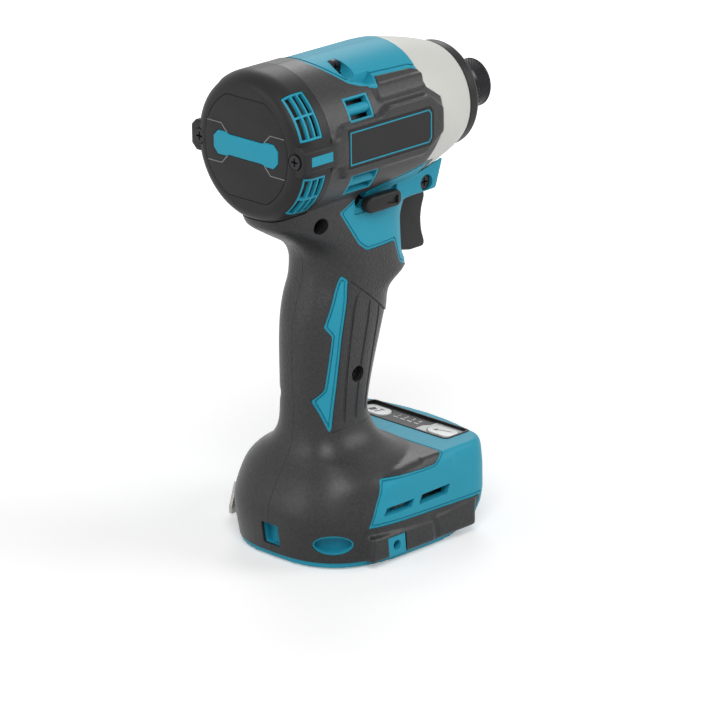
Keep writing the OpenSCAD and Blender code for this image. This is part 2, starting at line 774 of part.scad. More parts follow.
// Recess for the name plates
name_shares = [[0.328, -0.243], [0.92, -0.243], [0.946, -0.16], [0.946, 0.19], [0.92, 0.267],
    [0.328, 0.267]];
module name_blocks(depth) {
    for (side = [-1, 1]) mirror([0, side < 0 ? 0 : 1, 0])
        translate([0, -barrel_r - pad_rise + depth, 0]) rotate([90, 0, 0])
            linear_extrude(depth) children();
}
module name_outline() { polygon([for (s = name_shares) cowl_point(s)]); }

module shell_cuts() {
    screw_holes();
    intake_windows();
    front_slots();
    foot_cuts();
    grip_grooves();
    name_blocks(name_t) offset(delta = trim_gap) name_outline();
    cover_screw_shanks(slide_gap);
}

module housing(side) {
    difference() {
        intersection() {
            union() {
                difference() {
                    union() {
                        body(grip_t);
                        intersection() {
                            body(0);
                            hard_zones();
                        }
                    }
                    cavity();
                }
                screw_bosses();
            }
            half(side);
        }
        shell_cuts();
    }
}

module grip(side) {
    difference() {
        intersection() {
            body(0);
            half(side);
        }
        body(grip_t, overrun / 2);
        hard_zones();
        cavity();
        shell_cuts();
    }
}

module housing_right() { color(teal) housing(-1); }
module housing_left() { color(teal) housing(1); }
module grip_right() { color(black) grip(-1); }
module grip_left() { color(black) grip(1); }

// Rear cover
shoulder_r = plate_r + shoulder_lip;
function cover_radius(x, inset) =
    let (u = min(1, max(0, (rear_x + shoulder_len - x) / shoulder_len)))
    shoulder_r - inset + (barrel_r - shoulder_r) * sqrt(1 - u * u);
cover_screw_len = 26;
lug_in = 3;
lug_out = 5.2;
lug_chamfer = 1.6;
lug_x = rear_x + lug_chamfer / 2;
hub_wall = 2;
rear_vent_shares = [[0.14, 0.75, 15, 53], [0.18, 0.83, -53, -14]];
vent_t = 2.2;
vent_bar = 0.9;
vent_bar_angle = 2;
slot_count = 3;
shoulder_steps = 6;
module vent_sector(v, side, grow, outer, inner) {
    x0 = rear_x + cover_len * v[0] - grow;
    x1 = rear_x + cover_len * v[1] + grow;
    steps = [for (i = [0:shoulder_steps]) x0 + (x1 - x0) * i / shoulder_steps];
    turned_part(concat(
        [for (x = steps) [cover_radius(x, 0) + outer, x]],
        [for (i = [shoulder_steps:-1:0]) [cover_radius(steps[i], 0) - inner, steps[i]]]
    ), v[2] - atan(grow / barrel_r), v[3] + atan(grow / barrel_r), side);
}
module cover_screw_shanks(grow) {
    for (side = [-1, 1]) translate([rear_x + screw_head_h, side * lug_y, axis_z]) rotate([0, 90, 0])
        cylinder(h = cover_screw_len, r = screw_r + grow);
}
module plate_shape(grow) {
    intersection() {
        circle(r = plate_r + grow);
        square([2 * (plate_flat + grow), 2 * (plate_r + grow)], center = true);
    }
}
module rear_cover() {
    steps = [for (i = [0:shoulder_steps]) rear_x + shoulder_len * i / shoulder_steps];
    inner_x = rear_x + back_t;
    inner_steps = [for (i = [0:shoulder_steps]) inner_x + (shoulder_len - back_t) * i / shoulder_steps];
    color(black) difference() {
        union() {
            turned(concat(
                [[0, rear_x]],
                [for (x = steps) [cover_radius(x, 0), x]],
                [[barrel_r, seam_x - trim_gap], [barrel_r - cover_wall, seam_x - trim_gap]],
                [for (i = [shoulder_steps:-1:0])
                    [cover_radius(inner_steps[i], cover_wall), inner_steps[i]]],
                [[0, inner_x]]
            ));
            tube_x(inner_x, motor_bearing_w, motor_bearing_r + hub_wall, motor_bearing_r + run_gap);
            for (side = [-1, 1]) mirror([0, side < 0 ? 0 : 1, 0])
                translate([0, 0, axis_z - lug_h]) linear_extrude(2 * lug_h) polygon([
                    [lug_x, -lug_y + lug_in], [lug_x, -lug_y - lug_out + lug_chamfer],
                    [lug_x + lug_chamfer, -lug_y - lug_out], [seam_x - trim_gap, -lug_y - lug_out],
                    [seam_x - trim_gap, -lug_y + lug_in]
                ]);
        }
        axial(rear_x - overrun) linear_extrude(plate_t + overrun) plate_shape(trim_gap);
        for (side = [-1, 1]) {
            translate([rear_x - overrun, side * lug_y, axis_z]) rotate([0, 90, 0]) {
                cylinder(h = cover_len + 2 * overrun, r = screw_r + slide_gap);
                cylinder(h = screw_head_h + overrun, r = screw_head_r + slide_gap);
            }
            for (v = rear_vent_shares) vent_sector(v, side, trim_gap, overrun, back_t + overrun);
        }
        lug_mark_boxes(trim_gap);
    }
}

module rear_plate() {
    color(black) difference() {
        axial(rear_x - trim_gap) linear_extrude(plate_t) plate_shape(0);
        axial(rear_x - overrun) linear_extrude(overrun + band_sink) band_shape(trim_gap);
    }
}
band_hl = 17.5;
band_hh = 4.8;
band_sink = 0.6;
band_rise = 0.3;
band_chamfer_share = 0.5;
band_waist_share = 0.86;
module band_shape(grow) {
    c = band_hh * band_chamfer_share;
    hh = band_hh + grow;
    hl = band_hl + grow;
    waist = band_hh * band_waist_share + grow;
    quarter = [[waist, 0], [waist, band_hl / 2], [hh, band_hl / 2 + c], [hh, hl - c], [hh - c, hl]];
    half_side = concat(quarter, [for (i = [4:-1:0]) [-quarter[i][0], quarter[i][1]]]);
    polygon(concat(half_side, [for (i = [8:-1:1]) [half_side[i][0], -half_side[i][1]]]));
}
module rear_band() {
    color(teal) axial(rear_x - trim_gap - band_rise) linear_extrude(band_rise + band_sink) band_shape(0);
}

module rear_vents() {
    color(teal) for (side = [-1, 1]) for (v = rear_vent_shares) {
        x0 = cover_len * v[0] + vent_bar;
        pitch = (cover_len * (v[1] - v[0]) - vent_bar) / slot_count;
        mid = (v[2] + v[3]) / 2;
        difference() {
            vent_sector(v, side, 0, 0, vent_t);
            for (k = [0:slot_count - 1]) for (a = [[v[2] + vent_bar_angle, mid - vent_bar_angle / 2],
                    [mid + vent_bar_angle / 2, v[3] - vent_bar_angle]])
                vent_sector([(x0 + k * pitch) / cover_len, (x0 + (k + 1) * pitch - vent_bar) / cover_len,
                    a[0], a[1]], side, 0, overrun, vent_t + overrun);
        }
    }
}

module intake_vents() {
    color(teal) for (side = [-1, 1]) for (v = intake_shares) {
        x0 = rear_x + cowl_len * v[0] + slide_gap;
        x1 = rear_x + cowl_len * v[1] - slide_gap;
        low = v[2] + slide_gap;
        high = v[3] - slide_gap;
        inner = barrel_r - intake_t;
        difference() {
            turned_part([[inner, x0], [barrel_r, x0], [barrel_r, x1], [inner, x1]], low, high, side);
            for (s = intake_slot_shares)
                turned_part([
                    [inner - overrun, x0 + intake_bar], [barrel_r + overrun, x0 + intake_bar],
                    [barrel_r + overrun, x1 - intake_bar], [inner - overrun, x1 - intake_bar]
                ], low + (high - low) * s[0], low + (high - low) * s[1], side);
        }
    }
}

mark_low_share = 0.27;
mark_high_share = 0.95;
mark_hh = 1.9;
mark_t = 0.6;
lug_face = lug_y + lug_out;
module lug_mark_boxes(grow) {
    for (side = [-1, 1]) mirror([0, side < 0 ? 0 : 1, 0])
        block([rear_x + cover_len * mark_low_share - grow, -lug_face - grow, axis_z - mark_hh - grow],
            [rear_x + cover_len * mark_high_share + grow, mark_t + grow - lug_face,
                axis_z + mark_hh + grow]);
}
module lug_marks() { color(teal) lug_mark_boxes(0); }

drive_hl = 1.65;
drive_hw = 0.37;
drive_depth = 1.2;
module screw(len, r, head_r, head_h) {
    difference() {
        union() {
            cylinder(h = len, r = r);
            translate([0, 0, -head_h]) cylinder(h = head_h, r = head_r);
        }
        for (a = [0, 90]) rotate([0, 0, a])
            translate([-drive_hl, -drive_hw, -head_h - overrun])
                cube([2 * drive_hl, 2 * drive_hw, overrun + drive_depth]);
    }
}
module cover_screws() {
    color(dark_steel) for (side = [-1, 1])
        translate([rear_x + screw_head_h, side * lug_y, axis_z]) rotate([0, 90, 0])
            screw(cover_screw_len - trim_gap, screw_r, screw_head_r, screw_head_h - trim_gap);
}
module housing_screws() {
    color(dark_steel) for (i = [0:4])
        translate([screw_spots[i][0], -screw_seat_y[i] - trim_gap, screw_spots[i][1]]) rotate([-90, 0, 0])
            screw(screw_lens[i] - trim_gap, screw_r, screw_head_r, screw_head_h);
}
module name_plates() { color(black) name_blocks(name_t) name_outline(); }

// Hammer case, its bush and the bumper
case_wall_gap = 1.4;
case_cone_share = 0.82;
module hammer_case() {
    bore = hammer_r + case_wall_gap;
    bore_end = hammer_front + jaw_gap;
    inner = [[bore, case_x], [bore, bore_end], [bore * case_cone_share, bush_x - jaw_gap / 2],
        [bush_r, bush_x - jaw_gap / 2], [bush_r, nose_x]];
    flip = [for (i = [4:-1:0]) inner[i]];
    color(pale) difference() {
        union() {
            turned(concat([[gear_case_r, case_x], [gear_case_r, lobe_x + seat_gap]],
                [[bush_r, lobe_x + seat_gap], [bush_r, case_x]]));
            intersection() {
                turned(concat([[bush_r, case_start]], case_outline, [[bush_r, nose_x]]));
                union() {
                    translate([seat_gap, 0, 0]) side_prism(front_cut, span);
                    block([lobe_x + seat_gap, -span, 0], [span, span, span]);
                }
            }
        }
        turned(concat([[0, case_x - overrun], [bore, case_x - overrun]], inner,
            [[bush_r, nose_x + overrun], [0, nose_x + overrun]]));
    }
}
module anvil_bush() {
    color(brass) tube_x(bush_x, bush_len, bush_r - run_gap / 2, anvil_r + run_gap);
}
bumper_lip = 1.6;
module nose_bumper() {
    inner = sleeve_r + overrun;
    color(black) turned([[inner, nose_x + seat_gap / 2], [bumper_r, nose_x + seat_gap / 2],
        [bumper_r, nose_x + bumper_len / 2], [bumper_r - bumper_lip, nose_x + bumper_len],
        [inner + bumper_lip, nose_x + bumper_len], [inner, nose_x + bumper_len - bumper_lip / 2]]);
}

// Chuck: the sleeve's land holds the balls in, its ramp frees them
knurl_len = 7.4;
neck_rise = 1.2;
front_r = 6.4;
sleeve_x = nose_x + sleeve_travel + overrun;
anvil_tip = sleeve_x + sleeve_len - 2 * seat_gap;
ball_in = 0.7;
ball_out = 0.75;
ball_set = 9;
ball_x = sleeve_x + ball_set;
ball_centre_r = socket_af / 2 - ball_in + lock_ball_r;
land_gap = 0.15;
land_r = front_r + land_gap;
relief_r = ball_centre_r + lock_ball_r + ball_out + 2 * land_gap;
land_lead = 0.4;
land_x = ball_x + land_lead;
bay_lip = 0.4;
ramp_len = 1.5;
spring_bay_r = 8.6;
sleeve_neck_r = 8.5;
sleeve_chamfer = 0.5;
knurl_x = sleeve_x + sleeve_len - knurl_len;
bay_x = knurl_x + bay_lip;
retainer_w = 0.8;
retainer_set = 0.3;
retainer_x = anvil_tip - retainer_set - retainer_w;
retainer_depth = 0.5;
sleeve_wire_r = 0.25;
sleeve_turns = 3;
wire_sides = 6;
module bit_sleeve() {
    tip = sleeve_x + sleeve_len;
    color(dark_steel) turned([
        [relief_r, sleeve_x], [sleeve_neck_r, sleeve_x], [sleeve_neck_r, knurl_x - neck_rise],
        [sleeve_r, knurl_x], [sleeve_r, tip - sleeve_chamfer], [sleeve_r - sleeve_chamfer, tip],
        [spring_bay_r, tip], [spring_bay_r, bay_x], [land_r, bay_x],
        [land_r, land_x], [relief_r, land_x - ramp_len]
    ]);
}
module sleeve_spring() {
    start = bay_x + run_gap;
    end = retainer_x - run_gap;
    coil_r = (front_r + spring_bay_r) / 2;
    color(steel) spring_x(start, end - start, coil_r, sleeve_wire_r, sleeve_turns, wire_sides);
}
module sleeve_ring() {
    inner = front_r - retainer_depth + run_gap;
    color(steel) tube_x(retainer_x, retainer_w, spring_bay_r - land_gap, inner);
}
module bit_ball(up) {
    translate([ball_x, 0, axis_z + up * ball_centre_r]) sphere(r = lock_ball_r);
}
module bit_ball_upper() { color(steel) bit_ball(1); }
module bit_ball_lower() { color(steel) bit_ball(-1); }

pilot_r = 3.5;
pilot_len = 5;
pilot_gap = 0.5;
hub_r = 9;
ear_angle = 50;
jaw_angle = 60;
jaw_lead = 2;
module wedge(r, h, low, high) {
    rotate_extrude(angle = high - low) square([r, h]);
}
module anvil() {
    color(steel) difference() {
        union() {
            axial(ear_x) {
                cylinder(h = ear_w, r = hub_r);
                for (a = [0, 180]) rotate([0, 0, a - ear_angle / 2]) wedge(ear_r, ear_w, 0, ear_angle);
            }
            axial(ear_x + ear_w) cylinder(h = bush_len + 2 * jaw_gap, r = anvil_r);
            axial(ear_x + ear_w) cylinder(h = anvil_tip - ear_x - ear_w, r = front_r);
        }
        axial(ear_x - overrun) cylinder(h = pilot_len + pilot_gap + overrun, r = pilot_r + run_gap);
        axial(anvil_tip - socket_depth)
            cylinder(h = socket_depth + overrun, r = socket_af / sqrt(3), $fn = 6);
        translate([ball_x, 0, axis_z - reach]) cylinder(h = 2 * reach, r = lock_ball_r + land_gap);
        tube_x(retainer_x - run_gap, retainer_w + 2 * run_gap, front_r + overrun, front_r - retainer_depth);
    }
}

// Hammer with its cam grooves, spring room and jaws
recess_depth = 8.5;
recess_r = 16;
spring_hub = 2.5;
hub_out_r = spindle_r + run_gap + spring_hub;
cam_rise = 0.2;
cam_set = 0.45;
cam_r = spindle_r + cam_rise;
cam_x = hammer_x + recess_depth + cam_set + cam_ball_r;
cam_turn = retreat_turn / 2;
cam_gap = 0.2;
seat_t = 0.8;
sun_room = 1.8;
seat_x = hammer_x + recess_depth - trim_gap - seat_t;
spring_wire_r = 1.05;
spring_turns = 5;
function cam_point(x, a) = [x, cam_r * cos(a), axis_z + cam_r * sin(a)];
// A groove that a cam ball runs along, in both directions of turn
module cam_groove(back) {
    for (base = [0, 180]) for (turn = [-1, 1]) {
        a = cam_point(cam_x, base);
        b = cam_point(cam_x + back * retreat / 2, base + turn * cam_turn);
        d = b - a;
        u = unit(d);
        run = norm(d) + 2 * cam_ball_r;
        start = a - cam_ball_r * u;
        translate(start) rotate([0, acos(u[2]), atan2(u[1], u[0])])
            cylinder(h = run, r = cam_ball_r + cam_gap);
    }
}
module hammer() {
    color(dark_steel) difference() {
        union() {
            tube_x(hammer_x, hammer_len, hammer_r, spindle_r + run_gap);
            axial(hammer_front) for (a = [0, 180])
                rotate([0, 0, a + ear_angle / 2 + jaw_lead]) difference() {
                    wedge(recess_r, jaw_h, 0, jaw_angle);
                    translate([0, 0, -overrun]) cylinder(h = jaw_h + 2 * overrun, r = hub_r + 2 * seat_gap);
                }
        }
        tube_x(hammer_x - overrun, recess_depth + overrun, recess_r, hub_out_r);
        cam_groove(1);
    }
}
module hammer_spring() {
    start = case_x + run_gap;
    end = seat_x - run_gap;
    coil_r = (hub_out_r + recess_r) / 2;
    color(steel) spring_x(start, end - start, coil_r, spring_wire_r, spring_turns, wire_sides);
}
module spring_seat() {
    color(steel) tube_x(seat_x, seat_t, recess_r - slide_gap, hub_out_r + slide_gap);
}
module cam_ball_left() { color(steel) translate(cam_point(cam_x, 0)) sphere(r = cam_ball_r); }
module cam_ball_right() { color(steel) translate(cam_point(cam_x, 180)) sphere(r = cam_ball_r); }
module spindle() {
    color(steel) difference() {
        union() {
            axial(flange_x) cylinder(h = flange_w, r = flange_r);
            axial(flange_x) cylinder(h = hammer_front - jaw_gap - flange_x, r = spindle_r);
            axial(hammer_front - overrun)
                cylinder(h = ear_x + pilot_len - hammer_front + overrun, r = pilot_r);
        }
        cam_groove(-1);
        for (a = planet_angles) planet_place(a) translate([0, 0, flange_x - overrun])
            cylinder(h = flange_w + 2 * overrun, r = pin_r + run_gap / 2);
        axial(flange_x - overrun) cylinder(h = overrun + sun_room, r = sun_r + gear_module + overrun);
    }
}

// Gears
function involute(r, rb) =
    r <= rb ? 0 : let (t = sqrt(r * r / (rb * rb) - 1)) t * 180 / PI - atan(t);
function gear_outline(teeth, add, ded, thin) =
    let (
        rp = gear_module * teeth / 2,
        rb = rp * cos(pressure_angle),
        half_pitch = 90 / teeth - thin / 2 / rp * 180 / PI + involute(rp, rb),
        radii = [for (s = [0:4]) rp - ded + (add + ded) * s / 4]
    )
    [for (k = [0:teeth - 1]) for (s = [0:9])
        let (
            up = s < 5,
            r = radii[up ? s : 9 - s],
            h = half_pitch - involute(r, rb),
            a = 360 * k / teeth + (up ? -h : h)
        )
        [r * cos(a), r * sin(a)]];
add_len = gear_module * addendum_share;
ded_len = gear_module * dedendum_share;
// Local frame of a planet: its Z runs along the bit axis, measured from the origin
module planet_place(a) {
    translate([0, gear_centre * cos(a), axis_z + gear_centre * sin(a)]) rotate([0, 90, 0]) children();
}
// Turn of a gear about +X, given in the YZ plane where angle 0 is +Y
module gear_solid(teeth, add, ded, thin, turn, w) {
    rotate([0, 0, 90 + turn]) linear_extrude(w)
        polygon(gear_outline(teeth, add, ded, thin));
}
function planet_turn(a) = a + 180 - (180 - sun_teeth * a) / planet_teeth;
module planet_gear(i) {
    a = planet_angles[i];
    color(steel) planet_place(a) translate([0, 0, ring_x + planet_side]) difference() {
        gear_solid(planet_teeth, add_len, ded_len, backlash, planet_turn(a), planet_w);
        translate([0, 0, -overrun]) cylinder(h = planet_w + 2 * overrun, r = pin_r + run_gap);
    }
}
module planet_gear_a() { planet_gear(0); }
module planet_gear_b() { planet_gear(1); }
module planet_gear_c() { planet_gear(2); }
module planet_pins() {
    color(steel) for (a = planet_angles) planet_place(a) translate([0, 0, ring_x + planet_side])
        cylinder(h = flange_x + flange_w - ring_x - planet_side, r = pin_r);
}
module ring_gear() {
    a = planet_angles[0];
    ring_turn = (ring_teeth * a - planet_teeth * (a - planet_turn(a)) - 180) / ring_teeth;
    color(steel) difference() {
        axial(ring_x + seat_gap / 2) cylinder(h = ring_w - seat_gap, r = ring_outer_r - run_gap / 2);
        axial(ring_x - overrun) gear_solid(ring_teeth, ded_len, add_len, -backlash,
            ring_turn + 180 / ring_teeth, ring_w + 2 * overrun);
    }
}
front_bearing_set = 0.4;
module gear_case() {
    color(dark_steel) difference() {
        axial(gear_x) cylinder(h = case_x - gear_x, r = gear_case_r);
        axial(ring_x) cylinder(h = span, r = ring_outer_r);
        axial(gear_x - overrun) cylinder(h = reach, r = motor_bearing_r + run_gap / 2);
    }
}
race_share = 0.35;
shield_share = 0.125;
module bearing(x, w, ro, ri) {
    groove = w * shield_share;
    color(steel) difference() {
        tube_x(x, w, ro, ri);
        for (end = [x - groove, x + w - groove])
            tube_x(end, 2 * groove, ro - (ro - ri) * race_share, ri + (ro - ri) * race_share);
    }
}
module spindle_bearing() {
    bearing(flange_x, flange_w - run_gap, ring_outer_r - run_gap / 2, flange_r + run_gap);
}
module motor_bearings() {
    bearing(rear_bearing_x + run_gap, motor_bearing_w - run_gap, motor_bearing_r, shaft_r + run_gap);
    bearing(gear_x + front_bearing_set, motor_bearing_w, motor_bearing_r, shaft_r + run_gap);
}

// Motor
sun_len = planet_w;
shaft_end = ring_x + planet_side;
module rotor_shaft() {
    color(steel) union() {
        axial(rear_bearing_x + 2 * run_gap) cylinder(h = shaft_end - rear_bearing_x, r = shaft_r);
        axial(shaft_end) gear_solid(sun_teeth, add_len, ded_len, backlash, 0, sun_len);
    }
}
magnet_t = 2;
magnet_w = 13;
magnet_in = 2.2;
magnet_count = 4;
module magnet_boxes(grow) {
    for (i = [0:magnet_count - 1]) axial(stator_x) rotate([0, 0, i * 360 / magnet_count])
        translate([rotor_r - magnet_in - magnet_t - grow, -magnet_w / 2 - grow, -grow])
            cube([magnet_t + 2 * grow, magnet_w + 2 * grow, stator_len + 2 * grow]);
}
module rotor_core() {
    color(dark_steel) difference() {
        tube_x(stator_x, stator_len, rotor_r, shaft_r + run_gap / 2);
        magnet_boxes(run_gap);
    }
}
module rotor_magnets() { color(steel) magnet_boxes(0); }
fan_hub_r = 6;
fan_disc_t = 1.4;
blade_count = 9;
blade_t = 1;
module fan() {
    color(black) difference() {
        axial(fan_x) union() {
            cylinder(h = fan_w, r = fan_hub_r);
            translate([0, 0, fan_w - fan_disc_t]) cylinder(h = fan_disc_t, r = fan_r);
            for (i = [0:blade_count - 1]) rotate([0, 0, i * 360 / blade_count])
                translate([fan_hub_r - blade_t, -blade_t / 2, 0])
                    cube([fan_r - fan_hub_r - blade_t, blade_t, fan_w]);
        }
        axial(fan_x - overrun) cylinder(h = fan_w + 2 * overrun, r = shaft_r + run_gap / 2);
    }
}
tooth_count = 6;
tooth_hw = 3;
yoke_t = 3;
shoe_t = 1.6;
shoe_hw = 5.6;
stator_bore = rotor_r + air_gap;
module stator_core() {
    color(dark_steel) difference() {
        union() {
            tube_x(stator_x, stator_len, stator_r, stator_r - yoke_t);
            for (i = [0:tooth_count - 1]) axial(stator_x) rotate([0, 0, i * 360 / tooth_count]) {
                translate([stator_bore, -tooth_hw, 0])
                    cube([stator_r - yoke_t / 2 - stator_bore, 2 * tooth_hw, stator_len]);
                translate([stator_bore - shoe_t, -shoe_hw, 0]) cube([2 * shoe_t, 2 * shoe_hw, stator_len]);
            }
        }
        axial(stator_x - overrun) cylinder(h = stator_len + 2 * overrun, r = stator_bore);
    }
}
coil_t = 2.6;
coil_end = coil_over - seat_gap;
module stator_coils() {
    low = stator_bore + shoe_t + trim_gap;
    high = sqrt(pow(stator_r - yoke_t - trim_gap, 2) - pow(tooth_hw + coil_t, 2));
    hw = tooth_hw + coil_t;
    slot = tooth_hw + trim_gap;
    color(copper) for (i = [0:tooth_count - 1]) axial(stator_x)
        rotate([0, 0, i * 360 / tooth_count]) difference() {
            translate([low, -hw, -coil_end]) cube([high - low, 2 * hw, stator_len + 2 * coil_end]);
            translate([low - overrun, -slot, -trim_gap])
                cube([high - low + 2 * overrun, 2 * slot, stator_len + 2 * trim_gap]);
        }
}
board_bore = 8;
module sensor_board() {
    color(board_green) tube_x(board_x, board_t, stator_r - seat_gap, board_bore);
}

// Trigger, switch and direction lever
trigger_shares = [[0, 1], [0.93, 1], [1, 0.95], [0.955, 0.75], [0.93, 0.55], [0.94, 0.3], [0.99, 0.06],
    [0.95, 0], [0.72, 0], [0.42, 0.08], [0, 0.08]];
trigger_back = trigger_slot_x + trigger_travel + slide_gap;
trigger_len = trigger_front - trigger_back;
stem_z_share = 0.62;
stem_r = 2.4;
plunger_len = 7;
module trigger() {
    outline = [for (s = trigger_shares) [trigger_back + trigger_len * s[0], trigger_z + trigger_h * s[1]]];
    color(black) difference() {
        union() {
            side_prism(outline, 2 * trigger_hw);
            translate([trigger_back - plunger_len + overrun, 0, stem_z]) rotate([0, 90, 0])
                cylinder(h = plunger_len, r = stem_r);
        }
        for (side = [-1, 1])
            translate([trigger_front, side * trigger_hw, trigger_z - overrun]) rotate([0, 0, 45])
                linear_extrude(trigger_h + 2 * overrun) square(2 * trigger_edge, center = true);
    }
}
trigger_edge = 1.6;
stem_z = trigger_z + trigger_h * stem_z_share;
switch_front = trigger_back - trigger_travel - slide_gap;
switch_back_share = 0.207;
switch_len = switch_front - handle_top_x - handle_top_d * switch_back_share;
switch_hw = 9;
switch_top = lever_z - lever_arm_t / 2 - slide_gap;
switch_x = switch_front - switch_len;
module switch_body() {
    color(dark_steel) union() {
        difference() {
            block([switch_x, -switch_hw, trigger_z], [switch_front, switch_hw, switch_top]);
            translate([switch_front - plunger_len - trigger_travel, 0, stem_z]) rotate([0, 90, 0])
                cylinder(h = reach, r = stem_r + slide_gap);
        }
        translate([lever_pivot_x, 0, switch_top - overrun])
            cylinder(h = lever_arm_t + 2 * slide_gap + overrun, r = lever_pivot_r);
    }
}
module trigger_spring() {
    color(steel) translate([0, 0, stem_z - axis_z])
        spring_x(switch_front + run_gap, trigger_back - switch_front - 2 * run_gap,
            stem_r + stem_gap + stem_wire_r, stem_wire_r, stem_turns, wire_sides);
}
stem_gap = 0.8;
stem_wire_r = 0.4;
stem_turns = 4;
lever_hw = neck_hw + lever_reach;
module direction_lever() {
    low = lever_z - lever_h / 2;
    high = lever_z + lever_h / 2;
    back = lever_x - lever_len / 2;
    front = lever_x + lever_len / 2;
    tip = lever_h / 2;
    color(black) difference() {
        union() {
            translate([lever_pivot_x, 0, lever_z - lever_arm_t / 2])
                cylinder(h = lever_arm_t, r = 2 * lever_pivot_r);
            block([lever_pivot_x, -2 * lever_pivot_r, lever_z - lever_arm_t / 2],
                [lever_x + lever_len / 4, 2 * lever_pivot_r, lever_z + lever_arm_t / 2]);
            block([lever_x - lever_len / 6, -lever_hw + tip, lever_z - lever_arm_t / 2],
                [lever_x + lever_len / 4, lever_hw - tip, lever_z + lever_arm_t / 2]);
            for (side = [-1, 1]) translate([0, side * (lever_hw - tip), 0])
                rotate([90, 0, 0]) translate([0, 0, -tip]) linear_extrude(2 * tip) polygon([
                    [back, lever_z], [back + tip, low], [front - tip / 2, low], [front, low + tip / 2],
                    [front, high - tip / 2], [front - tip / 2, high], [back + tip, high]
                ]);
        }
        translate([lever_pivot_x, 0, lever_z - reach])
            cylinder(h = 2 * reach, r = lever_pivot_r + run_gap);
    }
}
lamp_slope = 0.7;
module lamp_lens() {
    color(white) side_prism([
        [lamp_x - lamp_d + trim_gap, lamp_z - lamp_h / 2], [lamp_x, lamp_z - lamp_h / 2],
        [lamp_x + lamp_slope, lamp_z + lamp_h / 2], [lamp_x - lamp_d + trim_gap, lamp_z + lamp_h / 2]
    ], 2 * lamp_hw);
}

// Foot electronics
controller_x = 37.5;
controller_set = 14.5;
controller_len = foot_rear + foot_len - controller_set - controller_x;
controller_hw = 27;
controller_top = 30.7;
fin_count = 5;
fin_depth = 1.6;
fin_share = 0.33;
module controller() {
    pitch = 2 * controller_hw / (fin_count + 1);
    color(steel) difference() {
        block([controller_x, -controller_hw, cavity_z + trim_gap],
            [controller_x + controller_len, controller_hw, controller_top]);
        for (i = [1:fin_count])
            translate([0, i * pitch - controller_hw, 0])
                block([controller_x - overrun, -fin_depth / 2, controller_top - fin_depth],
                    [controller_x + controller_len * fin_share, fin_depth / 2, controller_top + overrun]);
    }
}

// Leads from the sensor board down the handle to the controller
lead_r = 1.1;
lead_pitch = 3;
lead_sides = 8;
lead_shares = [[0.401, 0.86], [0.403, 0.8412], [0.402, 0.8118], [0.346, 0.7765], [0.2, 0.7294],
    [0.125, 0.6706], [0.178, 0.5882], [0.185, 0.4941], [0.214, 0.3882], [0.334, 0.3059], [0.543, 0.2471]];
lead_drop = 5.8;
lead_in = 3;
lead_route = concat([for (s = lead_shares) handle_point(s)], [
    [controller_x + lead_r, controller_top + lead_drop],
    [controller_x + lead_in, controller_top + seat_gap]
]);
module motor_leads() {
    color(copper) for (k = [-1, 0, 1])
        swept([for (p = lead_route) [p[0], k * lead_pitch, p[1]]], lead_r, lead_sides,
            [0, 0, -1], [0, 0, -1]);
}

// Terminal block and its blades
blade_y = [-11, -3.6, 3.6, 11];
blade_w = 0.8;
blade_len = 16;
blade_h = 4;
blade_root = 5;
blade_z = 9;
module blade_boxes(grow) {
    back = terminal_x + terminal_len - blade_root;
    hw = blade_w / 2 + grow;
    hh = blade_h / 2 + grow;
    for (y = blade_y)
        block([back - grow, y - hw, blade_z - hh], [back + blade_len, y + hw, blade_z + hh]);
}
terminal_lip = 2;
module terminal_block() {
    color(black) difference() {
        union() {
            block([terminal_x, -terminal_hw, terminal_z],
                [terminal_x + terminal_len, terminal_hw, terminal_top]);
            block([terminal_x - terminal_lip, -terminal_hw - terminal_lip, cavity_z],
                [terminal_x + terminal_len, terminal_hw + terminal_lip, terminal_top]);
        }
        blade_boxes(run_gap);
    }
}
module terminals() { color(brass) blade_boxes(0); }

// Mode panel and its two buttons
button_y = 18.6;
button_x = panel_x + panel_d / 2;
button_rise = 0.4;
button_top = deck_z - panel_sink + button_rise;
panel_board_t = 1.4;
board_in = 3.6;
board_top = controller_top + seat_gap + panel_board_t;
button_foot = board_top + button_travel + slide_gap;
module button_outline(grow) {
    for (s = [-1, 1]) translate([0, s * (button_hl - button_hw)]) circle(r = button_hw + grow);
    square([2 * (button_hw + grow), 2 * (button_hl - button_hw)], center = true);
}
module mode_panel() {
    color(black) difference() {
        block([panel_x + trim_gap, -panel_hw + trim_gap, deck_z - panel_sink - panel_t],
            [panel_x + panel_d - trim_gap, panel_hw - trim_gap, deck_z - panel_sink]);
        for (s = [-1, 1]) translate([button_x, s * button_y, deck_z - reach])
            linear_extrude(2 * reach) button_outline(slide_gap);
    }
}
module button(y) {
    color(white) translate([button_x, y, button_foot])
        linear_extrude(button_top - button_foot) button_outline(0);
}
module mode_button() { button(-button_y); }
module light_button() { button(button_y); }
module panel_board() {
    hw = panel_hw - board_in;
    color(board_green) block([panel_x + panel_ledge, -hw, controller_top + seat_gap],
        [panel_x + panel_d - 2 * panel_ledge, hw, board_top]);
}

